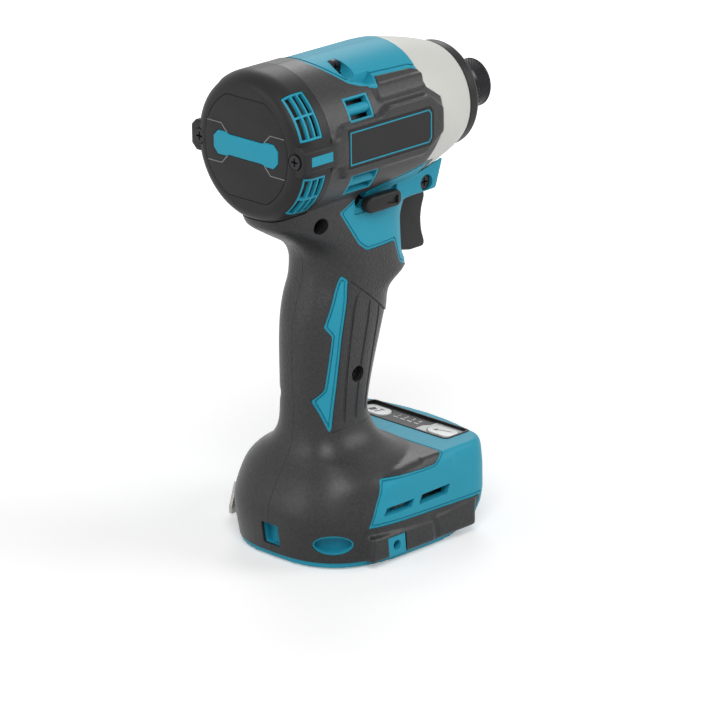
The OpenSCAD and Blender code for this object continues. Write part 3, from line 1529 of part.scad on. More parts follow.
// Belt hook on the left, its screw, and the threaded inserts of both sides
insert_y = foot_hw + skirt_rise - insert_sink - insert_t;
hook_y = foot_hw + skirt_rise + trim_gap;
hook_low = hook_z - hook_w / 2;
hook_tab_back = 6;
hook_tab_front = 15;
hook_bend_x = hook_x + hook_tab_front;
hook_slant = 3;
module belt_hook() {
    mid_y = hook_y + hook_t + hook_gap / 2;
    leg_x = hook_bend_x - hook_leg;
    color(steel) difference() {
        translate([0, 0, hook_low]) union() {
            translate([hook_x - hook_tab_back, hook_y, 0])
                cube([hook_tab_back + hook_tab_front, hook_t, hook_w]);
            translate([hook_bend_x, mid_y, 0]) rotate([0, 0, -90]) rotate_extrude(angle = 180)
                translate([hook_gap / 2, 0]) square([hook_t, hook_w]);
            translate([leg_x, hook_y + hook_t + hook_gap, 0]) cube([hook_leg, hook_t, hook_w]);
        }
        cross_cyl(hook_x, hook_y - overrun, hook_z, hook_t + 2 * overrun, hook_thread_r + trim_gap);
        side_prism([
            [leg_x - overrun, hook_low + hook_slant], [leg_x - overrun, span], [leg_x + hook_slant, span],
            [leg_x + hook_slant, hook_low + hook_w], [leg_x, hook_low + hook_slant]
        ], span);
    }
}
hook_head_r = 3.6;
hook_head_h = 2.2;
module hook_screw() {
    color(steel) translate([hook_x, hook_y + hook_t + run_gap, hook_z]) rotate([90, 0, 0])
        screw(hook_y + hook_t - insert_y - trim_gap, hook_thread_r, hook_head_r, hook_head_h);
}
module hook_inserts() {
    color(teal) for (side = [-1, 1]) difference() {
        mirror([0, side < 0 ? 0 : 1, 0])
            block([hook_x - insert_hw, -insert_y - insert_t, hook_z - insert_hw],
                [hook_x + insert_hw, -insert_y, hook_z + insert_hw]);
        cross_cyl(hook_x, side * insert_y - reach / 2, hook_z, reach,
            hook_thread_r + (side < 0 ? 0 : run_gap / 2));
    }
}

housing_right();
housing_left();
grip_right();
grip_left();
rear_cover();
rear_plate();
rear_band();
rear_vents();
intake_vents();
lug_marks();
cover_screws();
housing_screws();
name_plates();
hammer_case();
anvil_bush();
nose_bumper();
bit_sleeve();
sleeve_spring();
sleeve_ring();
bit_ball_upper();
bit_ball_lower();
anvil();
hammer();
hammer_spring();
spring_seat();
cam_ball_left();
cam_ball_right();
spindle();
planet_gear_a();
planet_gear_b();
planet_gear_c();
planet_pins();
ring_gear();
gear_case();
spindle_bearing();
rotor_shaft();
rotor_core();
rotor_magnets();
fan();
motor_bearings();
stator_core();
stator_coils();
sensor_board();
trigger();
trigger_spring();
switch_body();
direction_lever();
motor_leads();
controller();
terminal_block();
terminals();
mode_panel();
panel_board();
mode_button();
light_button();
lamp_lens();
belt_hook();
hook_screw();
hook_inserts();
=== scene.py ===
"""Looks of a cordless impact driver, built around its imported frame.

Pieces are shaped in millimetres; each finished mesh is scaled to metres once.
"""
import json
import logging
import math
from dataclasses import dataclass, field
from enum import Enum
from typing import ClassVar, Mapping, Sequence

import bmesh
import bpy
from mathutils import Matrix, Vector


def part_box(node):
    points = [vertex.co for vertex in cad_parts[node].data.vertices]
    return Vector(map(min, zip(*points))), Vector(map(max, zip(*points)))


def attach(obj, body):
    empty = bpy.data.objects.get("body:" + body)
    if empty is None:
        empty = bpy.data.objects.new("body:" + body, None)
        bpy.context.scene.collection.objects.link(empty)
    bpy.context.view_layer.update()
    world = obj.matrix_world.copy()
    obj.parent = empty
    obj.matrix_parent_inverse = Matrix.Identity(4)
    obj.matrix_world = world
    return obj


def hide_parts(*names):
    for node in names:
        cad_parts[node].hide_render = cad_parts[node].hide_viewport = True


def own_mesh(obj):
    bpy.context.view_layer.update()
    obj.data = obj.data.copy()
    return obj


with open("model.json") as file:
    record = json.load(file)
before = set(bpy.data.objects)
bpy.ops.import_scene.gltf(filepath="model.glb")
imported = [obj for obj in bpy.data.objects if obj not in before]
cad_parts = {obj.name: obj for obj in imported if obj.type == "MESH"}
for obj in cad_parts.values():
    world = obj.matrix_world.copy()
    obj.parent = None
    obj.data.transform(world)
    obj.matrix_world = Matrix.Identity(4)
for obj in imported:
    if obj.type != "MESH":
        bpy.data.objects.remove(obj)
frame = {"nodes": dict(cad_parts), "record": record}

LOG = logging.getLogger("impact_driver")
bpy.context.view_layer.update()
MM = 0.001
AXIS_Z = 170.0  # height of the bit axis
REAR_X = -12.0  # back of the rear cover
BARREL_LEN = 75.0
BARREL_R = 30.0
FOOT_X = -1.5  # rear of the foot
FOOT_LEN = 90.5
DECK_Z = 38.0  # height of the foot's deck
REACH = 60.0  # half length of cutters that run right across the tool

Point = tuple[float, float]
Spot = tuple[float, float, float]
Window = tuple[float, float, float, float]
Rows = Sequence[Point]


class Cut(Enum):
    """How one solid acts on another."""

    TAKE = "DIFFERENCE"
    JOIN = "UNION"
    KEEP = "INTERSECT"


class Along(Enum):
    """The axis that an outline is drawn out along."""

    X = 0
    Y = 1
    Z = 2

    def spot(self, u: float, v: float, along: float) -> Spot:
        """Gives the place of outline point (u, v) at a height along the axis."""
        return ((along, u, v), (u, along, v), (u, v, along))[self.value]


class Side(Enum):
    """A side of the tool, by the sign of Y."""

    RIGHT = -1
    LEFT = 1

    @property
    def word(self) -> str:
        """The side's name in a piece name."""
        return self.name.lower()


def smooth_at(height: float, rows: Rows) -> float:
    """Reads a table of (height, value) rows along a smooth curve.

    Args:
        height: Where the table is read.
        rows: The rows, by rising height.

    Returns:
        The value at that height, held level past the ends.
    """
    last = len(rows) - 1
    if height <= rows[0][0]:
        return rows[0][1]
    if height >= rows[last][0]:
        return rows[last][1]
    low = max(i for i in range(last) if rows[i][0] <= height)

    def slope(i: int) -> float:
        """The slope at a row, from its neighbours."""
        a, b = rows[max(0, i - 1)], rows[min(last, i + 1)]
        return (b[1] - a[1]) / (b[0] - a[0])

    (z0, v0), (z1, v1) = rows[low], rows[low + 1]
    step = z1 - z0
    t = (height - z0) / step
    return ((2 * t**3 - 3 * t**2 + 1) * v0 + (t**3 - 2 * t**2 + t) * step * slope(low)
            + (3 * t**2 - 2 * t**3) * v1 + (t**3 - t**2) * step * slope(low + 1))


def cowl_point(s: Point) -> Point:
    """Turns shares of the barrel's length and radius into (x, z)."""
    return (REAR_X + BARREL_LEN * s[0], AXIS_Z + BARREL_R * s[1])


def body_point(s: Point) -> Point:
    """Turns shares of the barrel's length and the bit axis height into (x, z)."""
    return (REAR_X + BARREL_LEN * s[0], AXIS_Z * s[1])


def foot_point(s: Point) -> Point:
    """Turns shares of the foot's length and deck height into (x, z)."""
    return (FOOT_X + FOOT_LEN * s[0], DECK_Z * s[1])


def arc(centre: Point, radius: float, start: float, end: float, steps: int) -> list[Point]:
    """Gives points along an arc.

    Args:
        centre: Middle of the arc.
        radius: Its radius.
        start: First angle, in degrees.
        end: Last angle, in degrees.
        steps: Number of pieces between the ends.

    Returns:
        The points, ends included.
    """
    turns = [math.radians(start + (end - start) * i / steps) for i in range(steps + 1)]
    return [(centre[0] + radius * math.cos(t), centre[1] + radius * math.sin(t)) for t in turns]


class Shaper:
    """A bmesh in millimetres with the operations that the pieces share."""

    def __init__(self) -> None:
        """Starts with an empty mesh."""
        self.bm = bmesh.new()

    def ring(self, spots: Sequence[Spot], cap: bool = False) -> list[bmesh.types.BMEdge]:
        """Lays a closed loop of edges.

        Args:
            spots: Places of the loop's vertices, in order.
            cap: Whether a face fills the loop.

        Returns:
            The loop's edges.
        """
        made = bmesh.ops.create_circle(self.bm, cap_ends=cap, radius=1.0, segments=len(spots))["verts"]
        for vert, spot in zip(made, spots):
            vert.co = spot
        return list(dict.fromkeys(e for v in made for e in v.link_edges))

    def loft(self, rings: Sequence[Sequence[Spot]]) -> "Shaper":
        """Bridges loops into a closed skin with capped ends.

        Args:
            rings: Loops of equal count, in order.

        Returns:
            This shaper.
        """
        last = len(rings) - 1
        loops = [self.ring(spots, i in (0, last)) for i, spots in enumerate(rings)]
        for low, high in zip(loops, loops[1:]):
            bmesh.ops.bridge_loops(self.bm, edges=low + high)
        return self

    def prism(self, outline: Sequence[Point], low: float, high: float, axis: Along = Along.Y,
              edge: float = 0.0, soft: float = 0.0) -> "Shaper":
        """Draws an outline out along an axis.

        Args:
            outline: Points of the outline.
            low: Where the prism starts.
            high: Where it ends.
            axis: The axis that it follows.
            edge: Width of the bevel round its far end.
            soft: Radius that rounds the outline's corners.

        Returns:
            This shaper.
        """
        start = self.ring([axis.spot(u, v, low) for u, v in outline], True)
        face = start[0].link_faces[0]
        if soft:
            corners = bmesh.ops.bevel(self.bm, geom=list(face.verts), offset=soft, segments=5, profile=0.5,
                                      affect="VERTICES", material=-1)
            face = max((f for v in corners["verts"] for f in v.link_faces), key=lambda f: f.calc_area())
        grown = bmesh.ops.extrude_face_region(self.bm, geom=[face])["geom"]
        verts = [g for g in grown if isinstance(g, bmesh.types.BMVert)]
        bmesh.ops.translate(self.bm, verts=verts, vec=axis.spot(0, 0, high - low))
        if edge:
            far = set(verts)
            rim = [e for e in self.bm.edges if e.verts[0] in far and e.verts[1] in far]
            bmesh.ops.bevel(self.bm, geom=rim, offset=edge, segments=4, profile=0.5, affect="EDGES",
                            material=-1, clamp_overlap=True)
        return self

    def pair(self, outline: Sequence[Point], inner: float, outer: float, edge: float = 0.0) -> "Shaper":
        """Draws an outline out on both sides of the tool, the left one first.

        Args:
            outline: Points of the outline.
            inner: Distance from the middle plane where it starts.
            outer: Distance where it ends.
            edge: Width of the bevel round its far end.

        Returns:
            This shaper.
        """
        for way in (1, -1):
            self.prism(outline, way * inner, way * outer, edge=edge)
        return self

    def lathe(self, profile: Sequence[Point], steps: int = 96, closed: bool = True) -> "Shaper":
        """Turns a profile round the bit axis.

        Args:
            profile: (radius, x) points.
            steps: Pieces of a full turn.
            closed: Whether the last point joins the first.

        Returns:
            This shaper.
        """
        verts = [self.bm.verts.new((x, 0, AXIS_Z + r)) for r, x in profile]
        ends = zip(verts, verts[1:] + verts[:1] if closed else verts[1:])
        edges = [self.bm.edges.new(pair) for pair in ends]
        bmesh.ops.spin(self.bm, geom=verts + edges, cent=(0, 0, AXIS_Z), axis=(1, 0, 0), angle=math.tau,
                       steps=steps, use_merge=True)
        return self

    def sector(self, profile: Sequence[Point], low: float, high: float, side: Side,
               steps: int = 10) -> "Shaper":
        """Turns a closed profile through part of a turn round the bit axis.

        Args:
            profile: (radius, x) points.
            low: First angle above the side, in degrees.
            high: Last angle.
            side: The side that angles start from.
            steps: Pieces of the turn.

        Returns:
            This shaper.
        """
        a = math.radians(low)
        loop = self.ring([(x, side.value * r * math.cos(a), AXIS_Z + r * math.sin(a)) for r, x in profile],
                         True)
        face = loop[0].link_faces[0]
        bmesh.ops.spin(self.bm, geom=[face] + list(face.edges) + list(face.verts), cent=(0, 0, AXIS_Z),
                       axis=(1, 0, 0), angle=side.value * math.radians(high - low), steps=steps)
        return self

    def block(self, low: Spot, high: Spot) -> "Shaper":
        """Adds a box between two corners."""
        return self.prism([(low[0], low[1]), (high[0], low[1]), (high[0], high[1]), (low[0], high[1])],
                          low[2], high[2], Along.Z)

    def rod(self, centre: Spot, radius: float, length: float, axis: Along, steps: int = 40) -> "Shaper":
        """Adds a round rod that starts at a point.

        Args:
            centre: Middle of its first end.
            radius: Its radius.
            length: How far it runs along the axis.
            axis: Its direction.
            steps: Sides of the round.

        Returns:
            This shaper.
        """
        u, v = [c for i, c in enumerate(centre) if i != axis.value]
        low = centre[axis.value]
        return self.prism(arc((u, v), radius, 0, 360 - 360 / steps, steps - 1), low, low + length, axis)

    def solid(self, name: str) -> bpy.types.Object:
        """Closes the mesh and makes it an object.

        Args:
            name: The object's name.

        Returns:
            The object, still in millimetres.
        """
        bmesh.ops.remove_doubles(self.bm, verts=self.bm.verts, dist=1e-4)
        bmesh.ops.dissolve_degenerate(self.bm, edges=self.bm.edges, dist=1e-4)
        bmesh.ops.recalc_face_normals(self.bm, faces=self.bm.faces)
        mesh = bpy.data.meshes.new(name)
        self.bm.to_mesh(mesh)
        self.bm.free()
        obj = bpy.data.objects.new(name, mesh)
        bpy.context.scene.collection.objects.link(obj)
        return obj


class Bench:
    """Work on whole solids: cuts, joins, remeshing and copies."""

    @staticmethod
    def settle(obj: bpy.types.Object) -> bpy.types.Object:
        """Applies an object's modifiers to its mesh.

        Args:
            obj: The object.

        Returns:
            The same object.
        """
        seen = bpy.context.evaluated_depsgraph_get()
        mesh = bpy.data.meshes.new_from_object(obj.evaluated_get(seen))
        obj.modifiers.clear()
        old, obj.data = obj.data, mesh
        bpy.data.meshes.remove(old)
        return obj

    @staticmethod
    def drop(*objs: bpy.types.Object) -> None:
        """Deletes tools that have been used."""
        for obj in objs:
            bpy.data.meshes.remove(obj.data)

    @classmethod
    def apply(cls, obj: bpy.types.Object, how: Cut, tool: bpy.types.Object,
              keep: bool = False) -> bpy.types.Object:
        """Cuts or joins one solid with another.

        Args:
            obj: The solid that changes.
            how: The kind of cut.
            tool: The solid that acts on it.
            keep: Whether the tool stays for later use.

        Returns:
            The changed solid.
        """
        step = obj.modifiers.new("cut", "BOOLEAN")
        step.operation = how.value
        step.solver = "MANIFOLD"
        step.object = tool
        cls.settle(obj)
        if not keep:
            cls.drop(tool)
        return obj

    @classmethod
    def work(cls, obj: bpy.types.Object, how: Cut, *shapes: Shaper) -> bpy.types.Object:
        """Cuts or joins a solid with drawn shapes, one after another.

        Args:
            obj: The solid that changes.
            how: The kind of cut.
            shapes: The shapes that act on it.

        Returns:
            The changed solid.
        """
        for shape in shapes:
            cls.apply(obj, how, shape.solid("tool"))
        return obj

    @staticmethod
    def copy(obj: bpy.types.Object, name: str) -> bpy.types.Object:
        """Makes an object with its own copy of a mesh.

        Args:
            obj: The object that is copied.
            name: Name of the copy.

        Returns:
            The copy.
        """
        twin = bpy.data.objects.new(name, obj.data.copy())
        bpy.context.scene.collection.objects.link(twin)
        return twin

    @classmethod
    def swell(cls, obj: bpy.types.Object, name: str, distance: float) -> bpy.types.Object:
        """Copies a solid with its surface moved along its normals.

        Args:
            obj: The solid.
            name: Name of the copy.
            distance: How far the surface moves out.

        Returns:
            The copy.
        """
        twin = cls.copy(obj, name)
        normals = [Vector(v.normal) for v in twin.data.vertices]
        for vert, normal in zip(twin.data.vertices, normals):
            vert.co += normal * distance
        return twin

    @classmethod
    def remesh(cls, obj: bpy.types.Object, voxel: float, passes: int) -> bpy.types.Object:
        """Merges overlapping shells into one even skin with soft inner corners.

        Args:
            obj: The shells.
            voxel: Size of the even mesh.
            passes: Smoothing passes.

        Returns:
            The same object.
        """
        even = obj.modifiers.new("even", "REMESH")
        even.mode = "VOXEL"
        even.voxel_size = voxel
        calm = obj.modifiers.new("calm", "SMOOTH")
        calm.factor = 0.5
        calm.iterations = passes
        return cls.settle(obj)


def fill(tree: bpy.types.NodeTree, node: bpy.types.Node,
         inputs: "Mapping[str | int, float | Sequence[float] | bpy.types.NodeSocket]") -> None:
    """Sets or links the inputs of a shader node.

    Args:
        tree: The node tree.
        node: The node.
        inputs: A value or a socket for each input.
    """
    for name, value in inputs.items():
        if isinstance(value, bpy.types.NodeSocket):
            tree.links.new(value, node.inputs[name])
        else:
            node.inputs[name].default_value = value


def add_node(tree: bpy.types.NodeTree, kind: str,
             inputs: "Mapping[str | int, float | Sequence[float] | bpy.types.NodeSocket]",
             **traits: "str | int") -> bpy.types.Node:
    """Adds a shader node.

    Args:
        tree: The node tree.
        kind: The node's type, without its prefix.
        inputs: A value or a socket for each input.
        traits: Settings of the node itself.

    Returns:
        The node.
    """
    node = tree.nodes.new(f"ShaderNode{kind}")
    for trait, setting in traits.items():
        setattr(node, trait, setting)
    fill(tree, node, inputs)
    return node


@dataclass(frozen=True)
class Finish:
    """A procedural finish of one kind of surface.

    Colours are linear; grain, mottle, edge and relief are in millimetres.
    """

    name: str
    colour: Spot
    second: Spot
    rough: Point = (0.4, 0.5)
    metal: float = 0.0
    grain: float = 0.35
    bump: float = 0.1
    mottle: float = 12.0
    edge: float = 0.25
    specular: float = 0.5
    clear: float = 0.0
    relief: float = 0.1

    def build(self) -> bpy.types.Material:
        """Makes the node material, once for each finish.

        Returns:
            The material.
        """
        label = f"{self.name}_finish"
        known = bpy.data.materials.get(label)
        if known:
            return known
        mat = bpy.data.materials.new(label)
        mat.use_nodes = True
        tree = mat.node_tree
        place = add_node(tree, "TexCoord", {}).outputs["Object"]
        mottle = self.noise(tree, place, self.mottle, 3.0)
        grain = self.noise(tree, place, self.grain, 2.0)
        tone = add_node(tree, "Mix", {"Factor": mottle, "A": (*self.colour, 1), "B": (*self.second, 1)},
                        data_type="RGBA")
        rough = add_node(tree, "MapRange", {"Value": grain, "From Min": 0.3, "From Max": 0.7,
                                            "To Min": self.rough[0], "To Max": self.rough[1]})
        soft = add_node(tree, "Bevel", {"Radius": self.edge * MM}, samples=4)
        relief = add_node(tree, "Bump", {"Strength": self.bump, "Distance": self.relief * MM,
                                         "Height": self.height(tree, place, grain),
                                         "Normal": soft.outputs["Normal"]})
        fill(tree, tree.nodes["Principled BSDF"], {
            "Base Color": tone.outputs["Result"], "Roughness": rough.outputs["Result"],
            "Normal": relief.outputs["Normal"], "Metallic": self.metal, "Specular IOR Level": self.specular,
            "Transmission Weight": self.clear})
        return mat

    @staticmethod
    def noise(tree: bpy.types.NodeTree, place: bpy.types.NodeSocket, size: float,
              detail: float) -> bpy.types.NodeSocket:
        """Adds a noise of a given grain size.

        Args:
            tree: The material's node tree.
            place: Its Object coordinates.
            size: The grain size.
            detail: How many finer layers it holds.

        Returns:
            The socket of the noise.
        """
        node = add_node(tree, "TexNoise", {"Vector": place, "Scale": 1 / (size * MM), "Detail": detail})
        return node.outputs["Fac"]

    def height(self, tree: bpy.types.NodeTree, place: bpy.types.NodeSocket,
               grain: bpy.types.NodeSocket) -> bpy.types.NodeSocket:
        """Gives the socket that the relief is made from, here the plain grain."""
        return grain


@dataclass(frozen=True)
class GripFinish(Finish):
    """A rubber finish whose grain is coarse on the handle and faint above and below it."""

    foot: Point = (58.0, 66.0)
    neck: Point = (128.0, 138.0)
    faint: float = 0.03

    def height(self, tree: bpy.types.NodeTree, place: bpy.types.NodeSocket,
               grain: bpy.types.NodeSocket) -> bpy.types.NodeSocket:
        """Fades the grain out below and above the handle.

        Args:
            tree: The material's node tree.
            place: Its Object coordinates.
            grain: Its fine grain.

        Returns:
            The socket of the grain's height.
        """
        up = add_node(tree, "SeparateXYZ", {0: place}).outputs["Z"]
        level = grain
        for (low, high), start, end in ((self.foot, self.faint, 1.0), (self.neck, 1.0, self.faint)):
            fade = add_node(tree, "MapRange", {"Value": up, "From Min": low * MM, "From Max": high * MM,
                                               "To Min": start, "To Max": end})
            level = add_node(tree, "Math", {0: level, 1: fade.outputs["Result"]},
                             operation="MULTIPLY").outputs[0]
        return level


TEAL = Finish("teal_plastic", (0.020, 0.312, 0.440), (0.026, 0.342, 0.475), rough=(0.40, 0.50), bump=0.06,
              specular=0.2)
GRIP = GripFinish("grip_rubber", (0.006, 0.006, 0.007), (0.042, 0.042, 0.043), rough=(0.34, 0.44), grain=0.9,
                  bump=1.0, mottle=1.1, edge=0.4, relief=0.3, specular=0.36)
BLACK = Finish("black_plastic", (0.014, 0.014, 0.015), (0.019, 0.019, 0.020), rough=(0.36, 0.46), bump=0.08,
               specular=0.2)
GLOSS = Finish("panel_gloss", (0.010, 0.010, 0.011), (0.014, 0.014, 0.015), rough=(0.30, 0.40), bump=0.02,
               specular=0.2)
CASE = Finish("case_metal", (0.62, 0.62, 0.58), (0.67, 0.67, 0.63), rough=(0.40, 0.52), metal=0.05, grain=0.5,
              bump=0.10, edge=0.5)
# Dark steel, made darker still as painted shade: the flush cover screws stand in for heads deep in shaded
# counterbores.
DARK_STEEL_AND_SHADE = Finish("dark_steel", (0.022, 0.022, 0.024), (0.036, 0.036, 0.039), rough=(0.30, 0.44), metal=0.6,
              bump=0.08, specular=0.3)
KNURL = Finish("black_oxide", (0.020, 0.020, 0.022), (0.038, 0.038, 0.041), rough=(0.20, 0.30), metal=0.85,
               bump=0.05, edge=0.05)
STEEL = Finish("steel", (0.50, 0.50, 0.51), (0.60, 0.60, 0.60), rough=(0.24, 0.36), metal=1.0, bump=0.05)
NICKEL = Finish("nickel", (0.36, 0.35, 0.33), (0.44, 0.43, 0.41), rough=(0.20, 0.32), metal=1.0, bump=0.03)
BRONZE = Finish("bronze", (0.45, 0.28, 0.11), (0.55, 0.36, 0.16), rough=(0.30, 0.44), metal=1.0, bump=0.08)
COPPER = Finish("copper", (0.55, 0.22, 0.10), (0.68, 0.30, 0.15), rough=(0.25, 0.38), metal=1.0, bump=0.08)
BOARD = Finish("board", (0.012, 0.085, 0.035), (0.020, 0.12, 0.05), rough=(0.30, 0.45), bump=0.08)
WHITE = Finish("white_plastic", (0.72, 0.73, 0.73), (0.78, 0.79, 0.79), rough=(0.25, 0.36), bump=0.03)
SILVER = Finish("button_silver", (0.34, 0.35, 0.36), (0.40, 0.41, 0.42), rough=(0.30, 0.42), metal=0.3,
                bump=0.04)
LINE = Finish("accent_line", (0.20, 0.20, 0.20), (0.25, 0.25, 0.25), rough=(0.35, 0.5), bump=0.03)
LENS = Finish("clear", (0.90, 0.92, 0.93), (0.95, 0.96, 0.97), rough=(0.08, 0.16), bump=0.02, clear=0.55)
MAGNET = Finish("magnet", (0.10, 0.10, 0.105), (0.15, 0.15, 0.155), rough=(0.34, 0.50), metal=0.7, bump=0.12)
SLOT_FINISH = {f.name: f for f in (TEAL, GRIP, BLACK, CASE, DARK_STEEL_AND_SHADE, STEEL, NICKEL, BRONZE, COPPER, BOARD, WHITE,
                                   LENS, MAGNET)}


def finish_piece(obj: bpy.types.Object, look: Finish, body: str, nodes: Sequence[str],
                 crease: float = 32.0) -> bpy.types.Object:
    """Scales a shaped solid to metres, dresses it and seats it on its body.

    Args:
        obj: The solid, in millimetres.
        look: Its finish.
        body: The body that it rides on.
        nodes: CAD nodes that it stands for.
        crease: Edges sharper than this angle stay sharp, in degrees.

    Returns:
        The finished piece.
    """
    obj.data.transform(Matrix.Scale(MM, 4))
    obj.data.shade_smooth()
    obj.data.set_sharp_from_angle(angle=math.radians(crease))
    obj.data.materials.clear()
    obj.data.materials.append(look.build())
    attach(obj, body)
    if nodes:
        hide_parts(*nodes)
    LOG.info("%s: %d faces on %s", obj.name, len(obj.data.polygons), body)
    return obj


def edge_bevel(obj: bpy.types.Object, width: float, segments: int, angle: float) -> bpy.types.Object:
    """Rounds the sharp edges of a solid.

    Args:
        obj: The solid, in millimetres.
        width: Width of the bevel.
        segments: Its pieces.
        angle: Edges sharper than this are rounded, in degrees.

    Returns:
        The same object.
    """
    step = obj.modifiers.new("edge", "BEVEL")
    step.width = width
    step.segments = segments
    step.limit_method = "ANGLE"
    step.angle_limit = math.radians(angle)
    return Bench.settle(obj)


def inset_outline(outline: Sequence[Point], width: float) -> list[Point]:
    """Draws an outline in by a width.

    Args:
        outline: The points.
        width: How far it is drawn in.

    Returns:
        The inner outline.
    """
    shape = Shaper()
    face = shape.ring([(u, v, 0.0) for u, v in outline], True)[0].link_faces[0]
    shape.bm.normal_update()
    bmesh.ops.inset_region(shape.bm, faces=[face], thickness=width, use_even_offset=True,
                           use_boundary=True)
    points = [(v.co.x, v.co.y) for v in face.verts]
    shape.bm.free()
    return points


@dataclass
class BodyForm:
    """The outer form that the shell halves and the grip layer share."""

    dome_z: Sequence[float] = (0.66, 0.87, 1.02, 1.14, 1.3)
    dome_rear: Sequence[float] = (0.1, 0.4, 0.68, 0.86, 0.97)
    dome_width: Sequence[float] = (0.03, 0.13, 0.45, 0.77, 0.95)
    dome_front: Sequence[float] = (0.0, 0.2, 0.72, 0.9, 0.98)
    top_z: float = 149.6
    levels: int = 75
    round_count: int = 72
    pad_y: float = 30.6
    chin_y: float = 16.5
    skirt_y: float = 38.8
    rib_y: float = 31.0
    pad_shares: Sequence[Point] = ((0.3, -0.36), (0.9, -0.36), (1.035, -0.12), (1.035, 0.2), (0.93, 0.42),
                                   (0.64, 0.42), (0.57, 0.33), (0.3, 0.33))
    chin_shares: Sequence[Point] = ((0.75, 0.96), (1.2, 0.925), (1.232, 0.875), (1.178, 0.806), (0.75, 0.802))
    skirt_shares: Sequence[Point] = ((0.18, 0.08), (0.575, 0.08), (0.56, 0.3), (0.19, 0.34))
    rib_outline: Sequence[Point] = ((4.75, 164.2), (13, 164.2), (13, 175.8), (4.75, 175.8))
    web_outline: Sequence[Point] = ((5, 174.5), (12.5, 174.5), (12.5, 179.7), (10.2, 179.7))
    panel_outline: Sequence[Point] = ((50, 12.4), (73.5, 14.4), (73.5, 3.2), (52, 3.2))
    shelf: Sequence[Point] = ((25, 33.5), (31, 33.5), (31, 60.5), (25, 60.5))
    shelf_turn: Point = (29, 41)
    console_x: float = 73.7
    console_back: float = 43.75
    console_across: float = 26.0
    console_corner: float = 12.0
    console_bow: float = 3.3
    console_draw: float = 5.5
    console_rows: Rows = ((0, 1), (0.14, 0.55), (0.28, 0.16), (0.42, 0), (0.7, 0), (0.89, 0.1), (0.96, 0.22),
                          (1, 0.5))
    deck_corner: float = 5.0
    deck_rows: Sequence[Spot] = ((62, 38, 38), (44, 38, 37.6), (34, 37.4, 36.2), (26, 36.4, 34.2),
                                 (19, 34.6, 31), (12, 31.5, 25.5))
    front_square: Rows = ((0, 2.75), (18, 2.75), (58, 2.5), (93, 2.5), (116, 3.2), (170, 3.2))
    back_square: Rows = ((0, 2.75), (18, 2.75), (58, 2.5), (170, 2.5))
    rear_rows: Rows = field(init=False)
    front_rows: Rows = field(init=False)
    width_rows: Rows = field(init=False)

    def __post_init__(self) -> None:
        """Fills the tables of the column by height."""
        def dome(shares: Sequence[float], start: float, end: float) -> list[Point]:
            """The rows of the dome between the foot and the handle."""
            return [(DECK_Z * z, start + (end - start) * s) for z, s in zip(self.dome_z, shares)]

        self.rear_rows = [(0, -1.5), (18, -4), *dome(self.dome_rear, -4, 10.7), (58, 10.7), (93, 11.025),
                          (116, 17.2), (124.61, 13.375), (132.43, 0.6), (138.04, -7.8), (self.top_z, -10.85)]
        self.front_rows = [(0, 86.74), (18, 86.74), *dome(self.dome_front, 86.74, 44.7), (58, 44.7),
                           (93, 55.025), (103.6, 56.2), (109.6, 64.7), (116, 62.2), (130.05, 62.2),
                           (136, 65.01), (self.top_z, 70.325)]
        self.width_rows = [(0, 36.75), (18, 38), *dome(self.dome_width, 38, 15.6), (58, 15.6), (93, 16.6),
                           (116, 17.6), (self.top_z, 17.6)]

    def handle_point(self, s: Point) -> Point:
        """Places a point on the handle's side.

        Args:
            s: Its shares of the handle's depth and of the axis height.

        Returns:
            The place, as (x, z).
        """
        z = AXIS_Z * s[1]
        back, front = smooth_at(z, self.rear_rows), smooth_at(z, self.front_rows)
        return (back + (front - back) * s[0], z)

    def square(self, z: float, ahead: bool) -> float:
        """The power that squares the column's section at a height, ahead of its middle or behind it."""
        return smooth_at(z, self.front_square if ahead else self.back_square)

    def column_ring(self, z: float, inset: float, count: int) -> list[Spot]:
        """One level of the foot, handle and neck.

        Args:
            z: Its height.
            inset: How far it is drawn in.
            count: Points round it.

        Returns:
            The places of its points.
        """
        h = min(self.top_z, z + inset * max(-1.0, min(1.0, (93 - z) / 35)))
        back = smooth_at(h, self.rear_rows) + inset
        front = smooth_at(h, self.front_rows) - inset
        wide = smooth_at(h, self.width_rows) - inset
        mid, half = (back + front) / 2, (front - back) / 2
        spots = []
        for i in range(count):
            a = math.tau * i / count
            q = self.square(h, math.cos(a) > 0)
            spots.append((mid + half * math.copysign(abs(math.cos(a)) ** (2 / q), math.cos(a)),
                          wide * math.copysign(abs(math.sin(a)) ** (2 / q), math.sin(a)), z))
        return spots

    def console_ring(self, z: float, inset: float) -> list[Spot]:
        """One level of the foot's front under the panel.

        Args:
            z: Its height.
            inset: How far it is drawn in.

        Returns:
            The places of its points.
        """
        across, radius = self.console_across, self.console_corner - inset
        front = [*arc((self.console_x, -across), radius, -90, 0, 10),
                 *((self.console_x + radius, across * k) for k in (-0.9, -0.6, -0.3, 0, 0.3, 0.6, 0.9)),
                 *arc((self.console_x, across), radius, 0, 90, 10)]
        bowed = [(x + self.console_bow * (1 - min(1, abs(y) / across) ** 2), y) for x, y in front]
        back = self.console_back + inset
        return [(x, y, z) for x, y in [(back, -across - radius), *bowed, (back, across + radius)]]

    def deck_ring(self, x: float, wide: float, top: float) -> list[Spot]:
        """One section of the deck where the dome runs out into the foot's front.

        Args:
            x: Its place along the foot.
            wide: Half its width.
            top: Its height.

        Returns:
            The places of its points.
        """
        r = self.deck_corner
        section = [(-wide, 10.0), *arc((r - wide, top - r), r, 180, 90, 6),
                   *arc((wide - r, top - r), r, 90, 0, 6), (wide, 10.0)]
        return [(x, y, z) for y, z in section]

